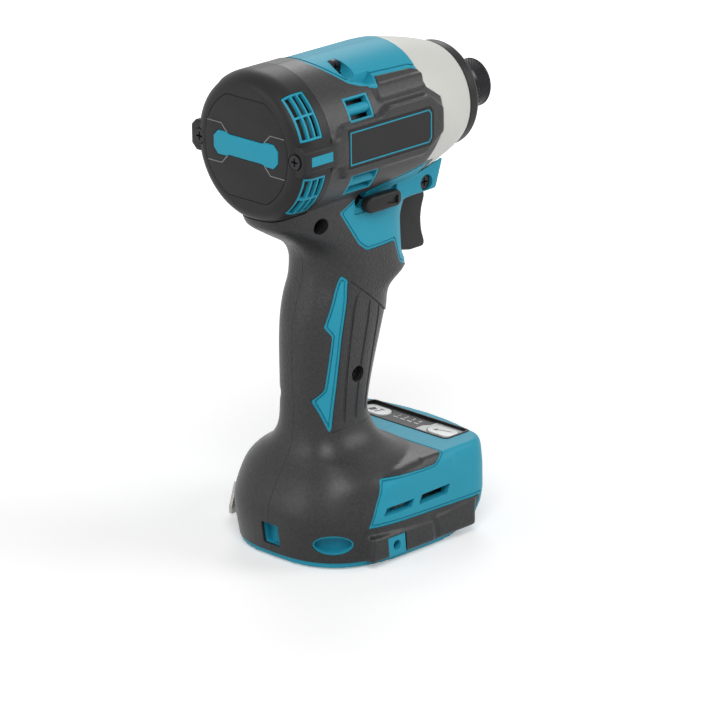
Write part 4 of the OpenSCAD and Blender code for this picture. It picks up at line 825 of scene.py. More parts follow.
    def shells(self, inset: float, name: str) -> bpy.types.Object:
        """Lays the overlapping shells of the whole outer form.

        Args:
            inset: How far the form is drawn in.
            name: Name of the object.

        Returns:
            The shells, not yet merged.
        """
        shape = Shaper()
        shape.loft([self.column_ring(self.top_z * i / self.levels, inset, self.round_count)
                    for i in range(self.levels + 1)])
        shape.loft([self.console_ring((DECK_Z - inset) * h, inset + self.console_draw * k)
                    for h, k in self.console_rows])
        r = BARREL_R - inset
        shape.lathe([(0, -2), (r, -2), (r, 54), (r - 0.21, 59.25), (r - 0.66, 63), (r - 1.8, 67.5),
                     (0, 67.5)], 120, closed=False)
        rib, pad, chin, skirt = (inset_outline(outline, inset) if inset else outline for outline in (
            self.rib_outline, [cowl_point(s) for s in self.pad_shares],
            [body_point(s) for s in self.chin_shares], [foot_point(s) for s in self.skirt_shares]))
        shape.pair(rib, 0, self.rib_y - inset, 1.2)
        shape.loft([self.deck_ring(x, wide - inset, top - inset) for x, wide, top in self.deck_rows])
        shape.pair(pad, 0, self.pad_y - inset, 0.8)
        shape.pair(chin, 0, self.chin_y - inset, 2.5)
        shape.pair(skirt, 0, self.skirt_y - inset, 0.6)
        if not inset:
            self.raised(shape)
        return shape.solid(name)

    def raised(self, shape: Shaper) -> None:
        """Adds the webs, side panels and shelves that stand proud of the form.

        Args:
            shape: The shells that take them.
        """
        for side in Side:
            shape.prism(self.web_outline, 0, side.value * 30.4, edge=0.8)
            shape.prism(self.panel_outline, 0, side.value * (self.skirt_y - 0.1), edge=0.5)
            shape.sector(self.shelf, *self.shelf_turn, side)

    def skin(self, inset: float, name: str, voxel: float, passes: int) -> bpy.types.Object:
        """Merges the shells into one skin with soft inner corners."""
        return Bench.remesh(self.shells(inset, name), voxel, passes)

    def room(self) -> bpy.types.Object:
        """Makes the room inside the halves.

        Returns:
            The solid of the room.
        """
        low, high, inset, steps = 15.5, 148.6, 4.0, 24
        top = DECK_Z - inset
        room = Shaper().loft([self.column_ring(low + (high - low) * i / steps, inset, 40)
                              for i in range(steps + 1)]).solid("room")
        foot = Shaper().loft([self.console_ring(low + (top - low) * h, inset + 0.5 * h)
                              for h in (0.0, 0.5, 1.0)])
        motor = Shaper().rod((-20, 0, AXIS_Z), 23.3, 50, Along.X, 72)
        gears = Shaper().rod((28.5, 0, AXIS_Z), 25.8, 90, Along.X, 72)
        return Bench.work(room, Cut.JOIN, foot, motor, gears)


@dataclass
class Clamshell:
    """The two hard shell halves and the grip layer over them."""

    form: BodyForm
    layer: float = 1.6
    sink: float = 0.4
    line_in: float = 0.9
    line_width: float = 0.45
    line_depth: float = 0.4
    rib_sink: float = 0.45
    parting: float = 0.06
    voxel: float = 0.8
    inner_voxel: float = 1.2
    zone_soft: float = 0.9
    rim_h: float = 2.7
    groove_r: float = 1.25
    groove_squash: float = 0.7
    groove_steps: int = 24
    well_r: float = 3.3
    lined_r: float = 4.0
    scoop_near: Point = (2.5, -1.1)
    scoop_far: Point = (7.4, -3.4)
    scoop_y: float = -17.3
    seat_gap: float = 0.15
    oval_size: Point = (7.4, 3.55)
    oval_spot: Spot = (4.6, -27.2, 10.5)
    foot_slots: Sequence[Window] = ((0.288, 0.448, 0.52, 0.6), (0.492, 0.667, 0.526, 0.625))
    slot_lean: float = 0.9
    slot_rise: float = 0.35
    lever_pocket: Sequence[Point] = ((28.9, 16.7), (34, 16.7), (53.1, 14.4), (53.1, REACH), (28.9, REACH))
    lever_pocket_z: Point = (137.75, 144.85)
    lever_slot: tuple[Spot, Spot] = ((35.2, -15, 139.45), (48.4, 15, 143.15))
    trigger_slot: tuple[Spot, Spot] = ((41, -8.25, 111.75), (120, 8.25, 135))
    trigger_lip_slot: tuple[Spot, Spot] = ((56.8, -8.25, 134), (120, 8.25, 138.2))
    lens_slot: tuple[Spot, Spot] = ((74.2, -4.15, 139.75), (84, 4.15, 142.45))
    pack_slots: Sequence[Spot] = ((31, 4, 13), (27.5, -1, 13))
    terminal_room: tuple[Spot, Spot] = ((7.85, -17.15, 12), (36.15, 17.15, 16.5))
    rear_socket: Sequence[Point] = ((-4.9, 6), (4.3, 6), (4.3, 15.2), (-4.9, 15.2))
    panel_seat: Sequence[Point] = ((68, -27.4), (82.8, -27.4), (82.8, 27.4), (68, 27.4))
    panel_seat_z: Point = (34.75, 60.0)
    board_room: tuple[Spot, Spot] = ((69.2, -26.2, 21), (81.6, 26.2, 38))
    top_zone: Sequence[Point] = ((0.355, 1.3), (0.355, 0.99), (0.472, 0.743), (0.541, 0.68), (0.6, 0.66),
                                 (0.635, 0.74), (0.92, 0.717), (0.955, 0.683), (1.1, 0.683), (1.1, 1.3))
    grip_zone: Sequence[Point] = ((0.431, 0.827), (0.624, 0.868), (0.963, 0.905), (1.4, 0.93), (1.4, 0.77))
    grip_leg: Sequence[Point] = ((1.04, 0.77), (1.068, 0.644), (0.93, 0.644), (0.794, 0.66), (0.76, 0.72),
                                 (0.427, 0.718), (0.369, 0.739))
    accent_zone: Sequence[Point] = ((0.149, 0.67), (0.215, 0.656), (0.283, 0.524), (0.269, 0.417),
                                    (0.217, 0.307), (0.181, 0.298), (0.041, 0.376), (0.139, 0.402),
                                    (0.184, 0.529), (0.11, 0.552), (0.134, 0.615))
    rib_zone: Sequence[Point] = ((0.244, 0.65), (0.86, 0.55), (1.05, 0.53), (1.05, 0.30), (0.827, 0.303),
                                 (0.399, 0.304), (0.2, 0.298), (0.236, 0.307), (0.29, 0.417), (0.303, 0.524),
                                 (0.235, 0.656))
    rib_lines: Sequence[tuple[Point, Point]] = (((0.378, 0.626), (0.387, 0.307)),
                                                ((0.575, 0.6), (0.569, 0.31)),
                                                ((0.717, 0.579), (0.774, 0.322)))
    foot_zone: Sequence[Point] = ((0.196, 0.424), (0.29, 0.903), (0.586, 0.913), (0.643, 1.0), (0.646, 1.3),
                                  (1.2, 1.3), (1.2, -0.2), (0.82, -0.2), (0.82, 0.071), (0.865, 0.392))
    front_cut: Sequence[Point] = ((60.53, 212), (60.45, 196.1), (59.63, 190.0), (58.13, 187.0),
                                  (58.88, 185.0), (67.3, 179), (67.3, 171), (66.2, 165.2), (60.23, 153.9),
                                  (77.25, 152.1), (95, 149.8), (95, 212))
    case_shares: Rows = ((0.92, 0), (0.963, 0.07), (0.945, 0.2), (0.91, 0.36), (0.873, 0.52), (0.83, 0.68),
                         (0.787, 0.82), (0.745, 0.93), (0.712, 1))
    screws: Sequence[Spot] = ((0.515, 1.153, 7.5), (1.09, 0.8318, 12.5), (0.588, 0.8435, 11.5),
                              (0.313, 0.806, 7), (0.577, 0.423, 10))

    def outlines(self) -> list[list[Point]]:
        """Lists the outlines where the hard shell comes to the surface.

        Returns:
            Barrel top, trigger surround, handle accent and foot.
        """
        handle = self.form.handle_point
        return [[cowl_point(s) for s in self.top_zone],
                [body_point(s) for s in self.grip_zone] + [handle(s) for s in self.grip_leg],
                [handle(s) for s in self.accent_zone], [foot_point(s) for s in self.foot_zone]]

    def zones(self, name: str, border: float = 0.0) -> bpy.types.Object:
        """Draws the hard zones out across the tool.

        Args:
            name: Name of the object.
            border: How far each zone is drawn in.

        Returns:
            The solid of the zones.
        """
        parts = [Shaper().prism(inset_outline(outline, border) if border else outline, -REACH, REACH,
                                soft=self.zone_soft) for outline in self.outlines()]
        if not border:
            x, z = self.by_top_screw(self.scoop_far)
            parts += [Shaper().block((-40, -REACH, -5), (120, REACH, self.rim_h)), self.oval(0.7, 8),
                      Shaper().rod((x, -REACH, z), 3.7, REACH, Along.Y)]
        return Bench.work(parts[0].solid(name), Cut.JOIN, *parts[1:])

    def by_top_screw(self, shift: Point) -> Point:
        """Gives the place of a point by its distance from the top housing screw."""
        x, z = body_point(self.screws[0][:2])
        return (x + shift[0], z + shift[1])

    @staticmethod
    def well(shape: Shaper, screw: Spot, radius: float) -> Shaper:
        """Adds the round well of one housing screw, from the right side in to its seat."""
        x, z = body_point(screw[:2])
        return shape.rod((x, -REACH, z), radius, REACH - screw[2], Along.Y)

    def oval(self, grow: float, depth: float) -> Shaper:
        """Draws the oval of the pocket at the foot's rear right corner.

        Args:
            grow: How far the oval is widened.
            depth: How far it goes into the foot.

        Returns:
            The oval's shape.
        """
        long, short = (size + grow for size in self.oval_size)
        outline = [(long * math.cos(t), short * math.sin(t)) for t in (math.tau * i / 48 for i in range(48))]
        shape = Shaper().prism(outline, -12, depth, Along.X)
        bmesh.ops.rotate(shape.bm, verts=shape.bm.verts, matrix=Matrix.Rotation(math.radians(45), 3, "Z"))
        bmesh.ops.translate(shape.bm, verts=shape.bm.verts, vec=self.oval_spot)
        return shape

    def lining(self) -> bpy.types.Object:
        """Makes the rods of the two screw wells that the grip layer lines.

        Returns:
            The solid of the rods.
        """
        shape = Shaper()
        for screw in self.screws[3:]:
            self.well(shape, screw, self.lined_r)
        return shape.solid("lining")

    def cutters(self) -> bpy.types.Object:
        """Joins every hole, slot and recess of the halves.

        Returns:
            One solid that is taken away from shell and grip.
        """
        scoop = [*arc(self.by_top_screw(self.scoop_near), 3.2, 65, 245, 14),
                 *arc(self.by_top_screw(self.scoop_far), 2.9, 245, 425, 14)]
        cuts = [self.well(Shaper(), screw, self.well_r) for screw in self.screws]
        cuts.append(Shaper().prism(scoop, -REACH, self.scoop_y))
        for side in Side:
            cuts += self.side_cuts(side)
        cuts += [*self.middle_cuts(), *self.end_cuts()]
        return Bench.work(cuts[0].solid("cutters"), Cut.JOIN, *cuts[1:])

    def side_cuts(self, side: Side) -> list[Shaper]:
        """Draws the vents, seats, slots and the lever's pocket of one side.

        Args:
            side: The side of the tool.

        Returns:
            The shapes to take away.
        """
        s, lean, rise = side.value, self.slot_lean, self.slot_rise
        cuts = []
        for low, high, a0, a1 in VentGrilles.intake:
            x0, x1 = VentGrilles.span(low, high)
            cuts.append(Shaper().sector([(24.4, x0), (33, x0), (33, x1), (24.4, x1)], a0, a1, side))
        cuts.append(Shaper().prism(inset_outline(NamePlates.outline(), -self.seat_gap), s * 30.1, s * 40))
        for low, high, z0, z1 in self.foot_slots:
            (xa, za), (xb, zb) = foot_point((low, z0)), foot_point((high, z1))
            slot = [(xa - lean, za), (xb - lean, za + rise), (xb + lean, zb + rise), (xa + lean, zb)]
            cuts.append(Shaper().prism(slot, s * 33, s * 50, soft=0.5))
        pocket = [(x, s * y) for x, y in self.lever_pocket]
        return [*cuts, Shaper().prism(inset_outline(HookInserts.outline, -self.seat_gap), s * 35.25, s * 50),
                Shaper().prism(pocket, *self.lever_pocket_z, Along.Z)]

    def middle_cuts(self) -> list[Shaper]:
        """Draws the openings on the middle plane, from the lever down to the panel.

        Returns:
            The shapes to take away.
        """
        cuts = [Shaper().block(*box) for box in (self.lever_slot, self.trigger_slot, self.trigger_lip_slot,
                                                 self.lens_slot)]
        for half, low, high in self.pack_slots:
            slot = [(200, -half), (20, -half), (6, -half / 2), (6, half / 2), (20, half), (200, half)]
            cuts.append(Shaper().prism(slot, low, high, Along.Z))
        return [*cuts, Shaper().block(*self.terminal_room),
                Shaper().prism(self.rear_socket, -20, 1.15, Along.X, soft=0.7), self.oval(0, 5.5),
                Shaper().prism(self.panel_seat, *self.panel_seat_z, Along.Z, soft=2.4),
                Shaper().block(*self.board_room)]

    def end_cuts(self) -> list[Shaper]:
        """Draws the room for the rear cover, its screws and the hammer case.

        Returns:
            The shapes to take away.
        """
        cover = RearCover()
        rear = [(cover.radius(x) + 0.25, x) for x in (REAR_X + cover.length * i / 24 for i in range(25))]
        rear = [(0, -40), (rear[0][0], -40), *rear, (0, REAR_X + cover.length)]
        start, end = Nose.start_x, Nose.nose_x
        case = [(BARREL_R * r + 0.3, start + (end - start) * x) for r, x in self.case_shares]
        case = [(0, start), *case, (0, end)]
        return [Shaper().lathe(rear, closed=False),
                *(Shaper().rod((-10, side.value * cover.lug_y, AXIS_Z), cover.screw_r, 30, Along.X)
                  for side in Side),
                Shaper().lathe(case, closed=False), Shaper().prism(self.front_cut, -REACH, REACH)]

    def grooves(self) -> bpy.types.Object:
        """Makes the lengthwise grooves of the palm ribs on both sides.

        Returns:
            The solid of the grooves.
        """
        parts, n = [], self.groove_steps
        for side, (high, low) in ((side, line) for side in Side for line in self.rib_lines):
            rings = []
            for i in range(n + 1):
                share, h = (b + (a - b) * i / n for a, b in zip(high, low))
                x, z = self.form.handle_point((share, h))
                wide, u = smooth_at(z, self.form.width_rows), 2 * share - 1
                q = self.form.square(z, u > 0)
                y = side.value * wide * (1 - abs(u) ** q) ** (1 / q)
                r = self.groove_r * math.sqrt(max(0.08, 1 - (2 * i / n - 1) ** 16))
                rings.append([(x + u * self.groove_squash, y + v, z) for u, v in arc((0, 0), r, 0, 315, 7)])
            parts.append(Shaper().loft(rings))
        return Bench.work(parts[0].solid("grooves"), Cut.JOIN, *parts[1:])

    def build(self) -> None:
        """Shapes, splits and dresses both layers."""
        skin = self.form.skin(0.0, "skin", self.voxel, 6)
        inner = self.form.skin(self.layer, "inner", self.inner_voxel, 3)
        room, cutters = self.form.room(), self.cutters()
        zones, lines = self.zones("zones"), self.zones("lines", self.line_in)
        Bench.apply(lines, Cut.TAKE, self.zones("fields", self.line_in + self.line_width))
        Bench.apply(lines, Cut.TAKE, Bench.swell(skin, "line_floor", -self.sink - self.line_depth))
        palm = [self.form.handle_point(s) for s in self.rib_zone]
        ribs = Shaper().prism(palm, -REACH, REACH, soft=0.5).solid("ribs")
        Bench.apply(ribs, Cut.TAKE, Bench.swell(skin, "rib_floor", -self.rib_sink))
        lining = Bench.apply(self.lining(), Cut.KEEP, Bench.swell(skin, "lining_top", -self.sink))
        shell = Bench.swell(skin, "shell", -self.sink)
        Bench.apply(shell, Cut.KEEP, zones, keep=True)
        Bench.apply(shell, Cut.JOIN, inner, keep=True)
        Bench.apply(shell, Cut.TAKE, room)
        for tool in (lines, lining, cutters):
            Bench.apply(shell, Cut.TAKE, tool, keep=True)
        grip = Bench.apply(skin, Cut.TAKE, zones)
        Bench.apply(grip, Cut.TAKE, inner)
        Bench.apply(grip, Cut.JOIN, lining)
        for tool in (cutters, ribs, self.grooves(), lines):
            Bench.apply(grip, Cut.TAKE, tool)
        for layer, word, look in ((shell, "housing", TEAL), (grip, "grip", GRIP)):
            for side in Side:
                piece = Bench.copy(layer, f"{word}_{side.word}_skin")
                low, high = sorted((side.value * self.parting, side.value * 80.0))
                Bench.work(piece, Cut.KEEP, Shaper().block((-60, low, -20), (140, high, 240)))
                finish_piece(piece, look, "body", [f"{word}_{side.word}"])
            Bench.drop(layer)


@dataclass
class NamePlates:
    """The blank plates on the barrel sides, each with a raised outline."""

    face_y: float = 30.6
    depth: float = 0.5
    margin: float = 1.0
    line: float = 0.55

    @staticmethod
    def outline() -> list[Point]:
        """The plate's outline on the barrel side."""
        return [cowl_point(s) for s in ((0.328, -0.243), (0.92, -0.243), (0.946, -0.16), (0.946, 0.19),
                                        (0.92, 0.267), (0.328, 0.267))]

    def build(self) -> None:
        """Shapes and dresses the plates and their outlines."""
        face, outline = self.face_y, self.outline()
        piece = Shaper().pair(outline, face - self.depth, face, 0.15).solid("name_plates_blank")
        outer, inner = inset_outline(outline, self.margin), inset_outline(outline, self.margin + self.line)
        for side in Side:
            s = side.value
            ring = Shaper().prism(outer, s * (face - 0.2), s * (face + 0.1)).solid(f"name_line_{side.word}")
            Bench.work(ring, Cut.TAKE, Shaper().prism(inner, s * (face - 1), s * (face + 1)))
            Bench.apply(piece, Cut.TAKE, Bench.copy(ring, "line_seat"))
            finish_piece(ring, TEAL, "body", [])
        finish_piece(piece, BLACK, "body", ["name_plates"])


@dataclass
class RearCover:
    """The motor cover with its lugs, and the plate and band on its back."""

    shoulder_r: float = 23.5
    shoulder_len: float = 8.0
    front_x: float = 4.45
    length: float = 16.6
    wall: float = 2.5
    lug_y: float = 26.0
    lug_root: float = 23.0
    lug_step: float = 28.6
    lug_face: float = 31.2
    lug_h: float = 6.2
    lug_flat: float = 3.8
    lug_back: float = -11.2
    screw_r: float = 1.75
    head_r: float = 3.15
    mark_gap: float = 0.12
    mark_depth: float = 0.75
    plate_r: float = 22.5
    plate_flat: float = 20.0
    plate_back: float = -12.15
    plate_t: float = 1.5
    band_hl: float = 17.5
    band_hh: float = 4.8
    band_front: float = -11.55
    band_back: float = -12.45
    line_path: Sequence[Point] = ((21.0, 8.1), (13.3, 8.1), (9.9, 4.75), (10.35, 4.55), (13.45, 7.78),
                                  (21.0, 7.78))
    vents: Sequence[Window] = ((0.14, 0.75, 15, 53), (0.18, 0.83, -53, -14))

    def radius(self, x: float) -> float:
        """The cover's outer radius at a place along the axis."""
        u = max(0.0, min(1.0, (REAR_X + self.shoulder_len - x) / self.shoulder_len))
        return self.shoulder_r + (BARREL_R - self.shoulder_r) * math.sqrt(1 - u * u)

    def span(self, low: float, high: float) -> Point:
        """Turns two shares of the cover's length into places along it."""
        return (REAR_X + self.length * low, REAR_X + self.length * high)

    def wall_strip(self, low: float, high: float, top: float, foot: float) -> list[Point]:
        """Draws a strip of the wall's section.

        Args:
            low: Its rear end along the axis.
            high: Its front end along the axis.
            top: Depth of its outer edge below the surface.
            foot: Depth of its inner edge below the surface.

        Returns:
            Its outline as (radius, x) points.
        """
        xs = [low + (high - low) * i / 8 for i in range(9)]
        return [(self.radius(x) - top, x) for x in xs] + [(self.radius(x) - foot, x) for x in xs[::-1]]

    def plate_outline(self, grow: float) -> list[Point]:
        """Draws a round outline with flats above and below.

        Args:
            grow: How far it is widened.

        Returns:
            The outline as (y, z) points.
        """
        r = self.plate_r + grow
        a = math.degrees(math.asin((self.plate_flat + grow) / r))
        return [*arc((0, AXIS_Z), r, -a, a, 40), *arc((0, AXIS_Z), r, 180 - a, 180 + a, 40)]

    def band_outline(self, grow: float) -> list[Point]:
        """Draws the band's outline, waisted in the middle and chamfered at its ends.

        Args:
            grow: How far it is widened.

        Returns:
            The outline as (y, z) points.
        """
        c, hh, hl = self.band_hh / 2, self.band_hh + grow, self.band_hl + grow
        waist, bend = self.band_hh * 0.86 + grow, self.band_hl / 2
        quarter = [(0, waist), (bend, waist), (bend + c, hh), (hl - c, hh), (hl, hh - c)]
        upper = [(-y, z) for y, z in quarter[:0:-1]] + quarter
        return [(y, AXIS_Z + z) for y, z in upper] + [(y, AXIS_Z - z) for y, z in upper[::-1]]

    def blank(self) -> bpy.types.Object:
        """Turns the cover's bowl and joins the two lugs to it.

        Returns:
            The solid without its openings.
        """
        rise, inside = BARREL_R - self.shoulder_r, BARREL_R - self.wall
        turn = [math.radians(90 * i / 16) for i in range(17)]
        outer = [(self.shoulder_r + rise * math.sin(t), REAR_X + self.shoulder_len * (1 - math.cos(t)))
                 for t in turn]
        bowl = [(0, REAR_X), (self.shoulder_r - 0.5, REAR_X), *outer, (BARREL_R, self.front_x),
                (inside, self.front_x), (inside, -4), (26.6, -8), (0, -8)]
        cover = Shaper().lathe(bowl, 144, closed=False).solid("rear_cover_skin")
        half = [(self.lug_root, self.lug_h), (self.lug_step, self.lug_h), (self.lug_face, self.lug_flat)]
        section = [(y, -z) for y, z in half] + half[::-1]
        for side in Side:
            outline = [(side.value * y, AXIS_Z + z) for y, z in section]
            lug = Shaper().prism(outline, self.lug_back, self.front_x, Along.X).solid("lug")
            Bench.apply(cover, Cut.JOIN, edge_bevel(lug, 0.6, 3, 30))
        return cover

    def shell(self) -> bpy.types.Object:
        """Cuts the plate's seat, the screw holes, the vents and the marks' seats into the cover.

        Returns:
            The solid, in millimetres.
        """
        cuts = [Shaper().prism(self.plate_outline(0.15), -10.5, -20, Along.X)]
        for side in Side:
            spot = (-20, side.value * self.lug_y, AXIS_Z)
            cuts += [Shaper().rod(spot, self.head_r, 10.2, Along.X),
                     Shaper().rod(spot, self.screw_r, 40, Along.X)]
            for low, high, a0, a1 in self.vents:
                strip = self.wall_strip(*self.span(low, high), -1, 5)
                cuts.append(Shaper().sector(strip, a0 - 0.25, a1 + 0.25, side))
        low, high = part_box("lug_marks")
        for side in Side:
            y0, y1 = sorted((side.value * (self.lug_face - self.mark_depth), side.value * 40.0))
            cuts.append(Shaper().block((low.x / MM - self.mark_gap, y0, low.z / MM - self.mark_gap),
                                       (high.x / MM + self.mark_gap, y1, high.z / MM + self.mark_gap)))
        return Bench.work(self.blank(), Cut.TAKE, *cuts)

    def build(self) -> None:
        """Shapes and dresses the cover, plate, band and accent lines."""
        finish_piece(self.shell(), BLACK, "body", ["rear_cover"], 24)
        plate = Shaper().prism(self.plate_outline(0), self.plate_back + self.plate_t, self.plate_back,
                               Along.X, edge=0.35).solid("rear_plate_skin")
        Bench.work(plate, Cut.TAKE, Shaper().prism(self.band_outline(0.2), -11.4, -16, Along.X))
        lines = self.accent_lines()
        Bench.apply(plate, Cut.TAKE, Bench.copy(lines, "line_seats"))
        finish_piece(plate, BLACK, "body", ["rear_plate"])
        finish_piece(lines, LINE, "body", [])
        band = Shaper().prism(self.band_outline(0), self.band_front, self.band_back, Along.X, edge=0.3)
        finish_piece(band.solid("rear_band_skin"), TEAL, "body", ["rear_band"])

    def accent_lines(self) -> bpy.types.Object:
        """Lays the thin lines that run from the plate's edge in to the band.

        Returns:
            The solid of the four lines.
        """
        shape = Shaper()
        for s, t in ((-1, -1), (-1, 1), (1, -1), (1, 1)):
            shape.prism([(s * y, AXIS_Z + t * z) for y, z in self.line_path], self.plate_back + 0.3,
                        self.plate_back - 0.06, Along.X)
        return shape.solid("rear_lines")


@dataclass
class VentGrilles:
    """The grilles of the rear cover and the barrel sides, and the baffles behind them."""

    intake: ClassVar[Sequence[Window]] = ((0.373, 0.547, 19, 38), (0.387, 0.587, -43, -22))
    cover: RearCover
    rim: float = 0.9
    bar: float = 0.8
    depth: float = 1.6
    round_r: float = 2.1
    round_at: float = 27.6

    @staticmethod
    def span(low: float, high: float) -> Point:
        """Turns two shares of the barrel's length into places along it."""
        return (REAR_X + BARREL_LEN * low, REAR_X + BARREL_LEN * high)

    def rear(self, whole: Shaper, slots: Shaper, baffles: Shaper, side: Side) -> None:
        """Lays the cover's two grilles of one side.

        Args:
            whole: Takes the grilles' solid strips.
            slots: Takes the slots to cut from them.
            baffles: Takes the walls behind them.
            side: The side of the tool.
        """
        edge, half = math.degrees(self.rim / 29), math.degrees(0.45 / 29)
        strip = self.cover.wall_strip
        for low, high, a0, a1 in self.cover.vents:
            x0, x1 = self.cover.span(low, high)
            whole.sector(strip(x0, x1, 0.2, self.depth), a0, a1, side, 20)
            baffles.sector(strip(x0, x1, 2.6, 3.6), a0, a1, side, 20)
            wide, mid = (x1 - x0 - 2 * self.rim - 2 * self.bar) / 3, (a0 + a1) / 2
            for i in range(3):
                xa = x0 + self.rim + i * (wide + self.bar)
                for start, end in ((a0 + edge, mid - half), (mid + half, a1 - edge)):
                    slots.sector(strip(xa, xa + wide, -1, self.depth + 0.5), start, end, side)

    def sides(self, whole: Shaper, slots: Shaper, baffles: Shaper, side: Side) -> None:
        """Lays the barrel's two frames of one side, each with one slot.

        Args:
            whole: Takes the frames' solid strips.
            slots: Takes the slots to cut from them.
            baffles: Takes the walls behind them.
            side: The side of the tool.
        """
        edge = math.degrees(self.rim / BARREL_R)
        for low, high, a0, a1 in self.intake:
            x0, x1 = self.span(low, high)
            whole.sector([(27, x0), (29.9, x0), (29.9, x1), (27, x1)], a0, a1, side)
            slots.sector([(25, x0 + 1), (33, x0 + 1), (33, x1 - 1), (25, x1 - 1)], a0 + edge, a1 - edge, side)
            baffles.sector([(24.5, x0), (25.2, x0), (25.2, x1), (24.5, x1)], a0, a1, side)

    def bars(self) -> bpy.types.Object:
        """Makes the round bars across the barrel's frames.

        Returns:
            The solid of the four bars.
        """
        shape = Shaper()
        for side in Side:
            for low, high, a0, a1 in self.intake:
                x0, x1 = self.span(low, high)
                t, r = math.radians((a0 + a1) / 2), self.round_at
                shape.rod((x0 + 0.5, side.value * r * math.cos(t), AXIS_Z + r * math.sin(t)), self.round_r,
                          x1 - x0 - 1, Along.X)
        return shape.solid("bars")

    def build(self) -> None:
        """Shapes and dresses the grilles and their baffles."""
        baffles = Shaper()
        for node, lay in (("rear_vents", self.rear), ("intake_vents", self.sides)):
            whole, slots = Shaper(), Shaper()
            for side in Side:
                lay(whole, slots, baffles, side)
            piece = Bench.work(whole.solid(f"{node}_skin"), Cut.TAKE, slots)
            if node == "intake_vents":
                Bench.apply(piece, Cut.JOIN, self.bars())
            finish_piece(piece, TEAL, "body", [node])
        finish_piece(baffles.solid("vent_baffles"), BLACK, "body", [])


@dataclass
class HookInserts:
    """The threaded plates that take the belt hook on either side of the foot."""

    outline: ClassVar[Sequence[Point]] = ((23.6, 11.2), (33.4, 11.2), (34.1, 2.9), (24.3, 2.9))
    hole: Point = (28.8, 7.1)
    hole_r: float = 2.0
    inner_y: float = 35.4
    face_y: float = 38.4

    def build(self) -> None:
        """Shapes and dresses both plates."""
        plates, bores = Shaper().pair(self.outline, self.inner_y, self.face_y, 0.25), Shaper()
        for side in Side:
            bores.rod((self.hole[0], side.value * 30, self.hole[1]), self.hole_r, side.value * 15, Along.Y)
        piece = Bench.work(plates.solid("hook_inserts_skin"), Cut.TAKE, bores)
        finish_piece(piece, TEAL, "body", ["hook_inserts"])


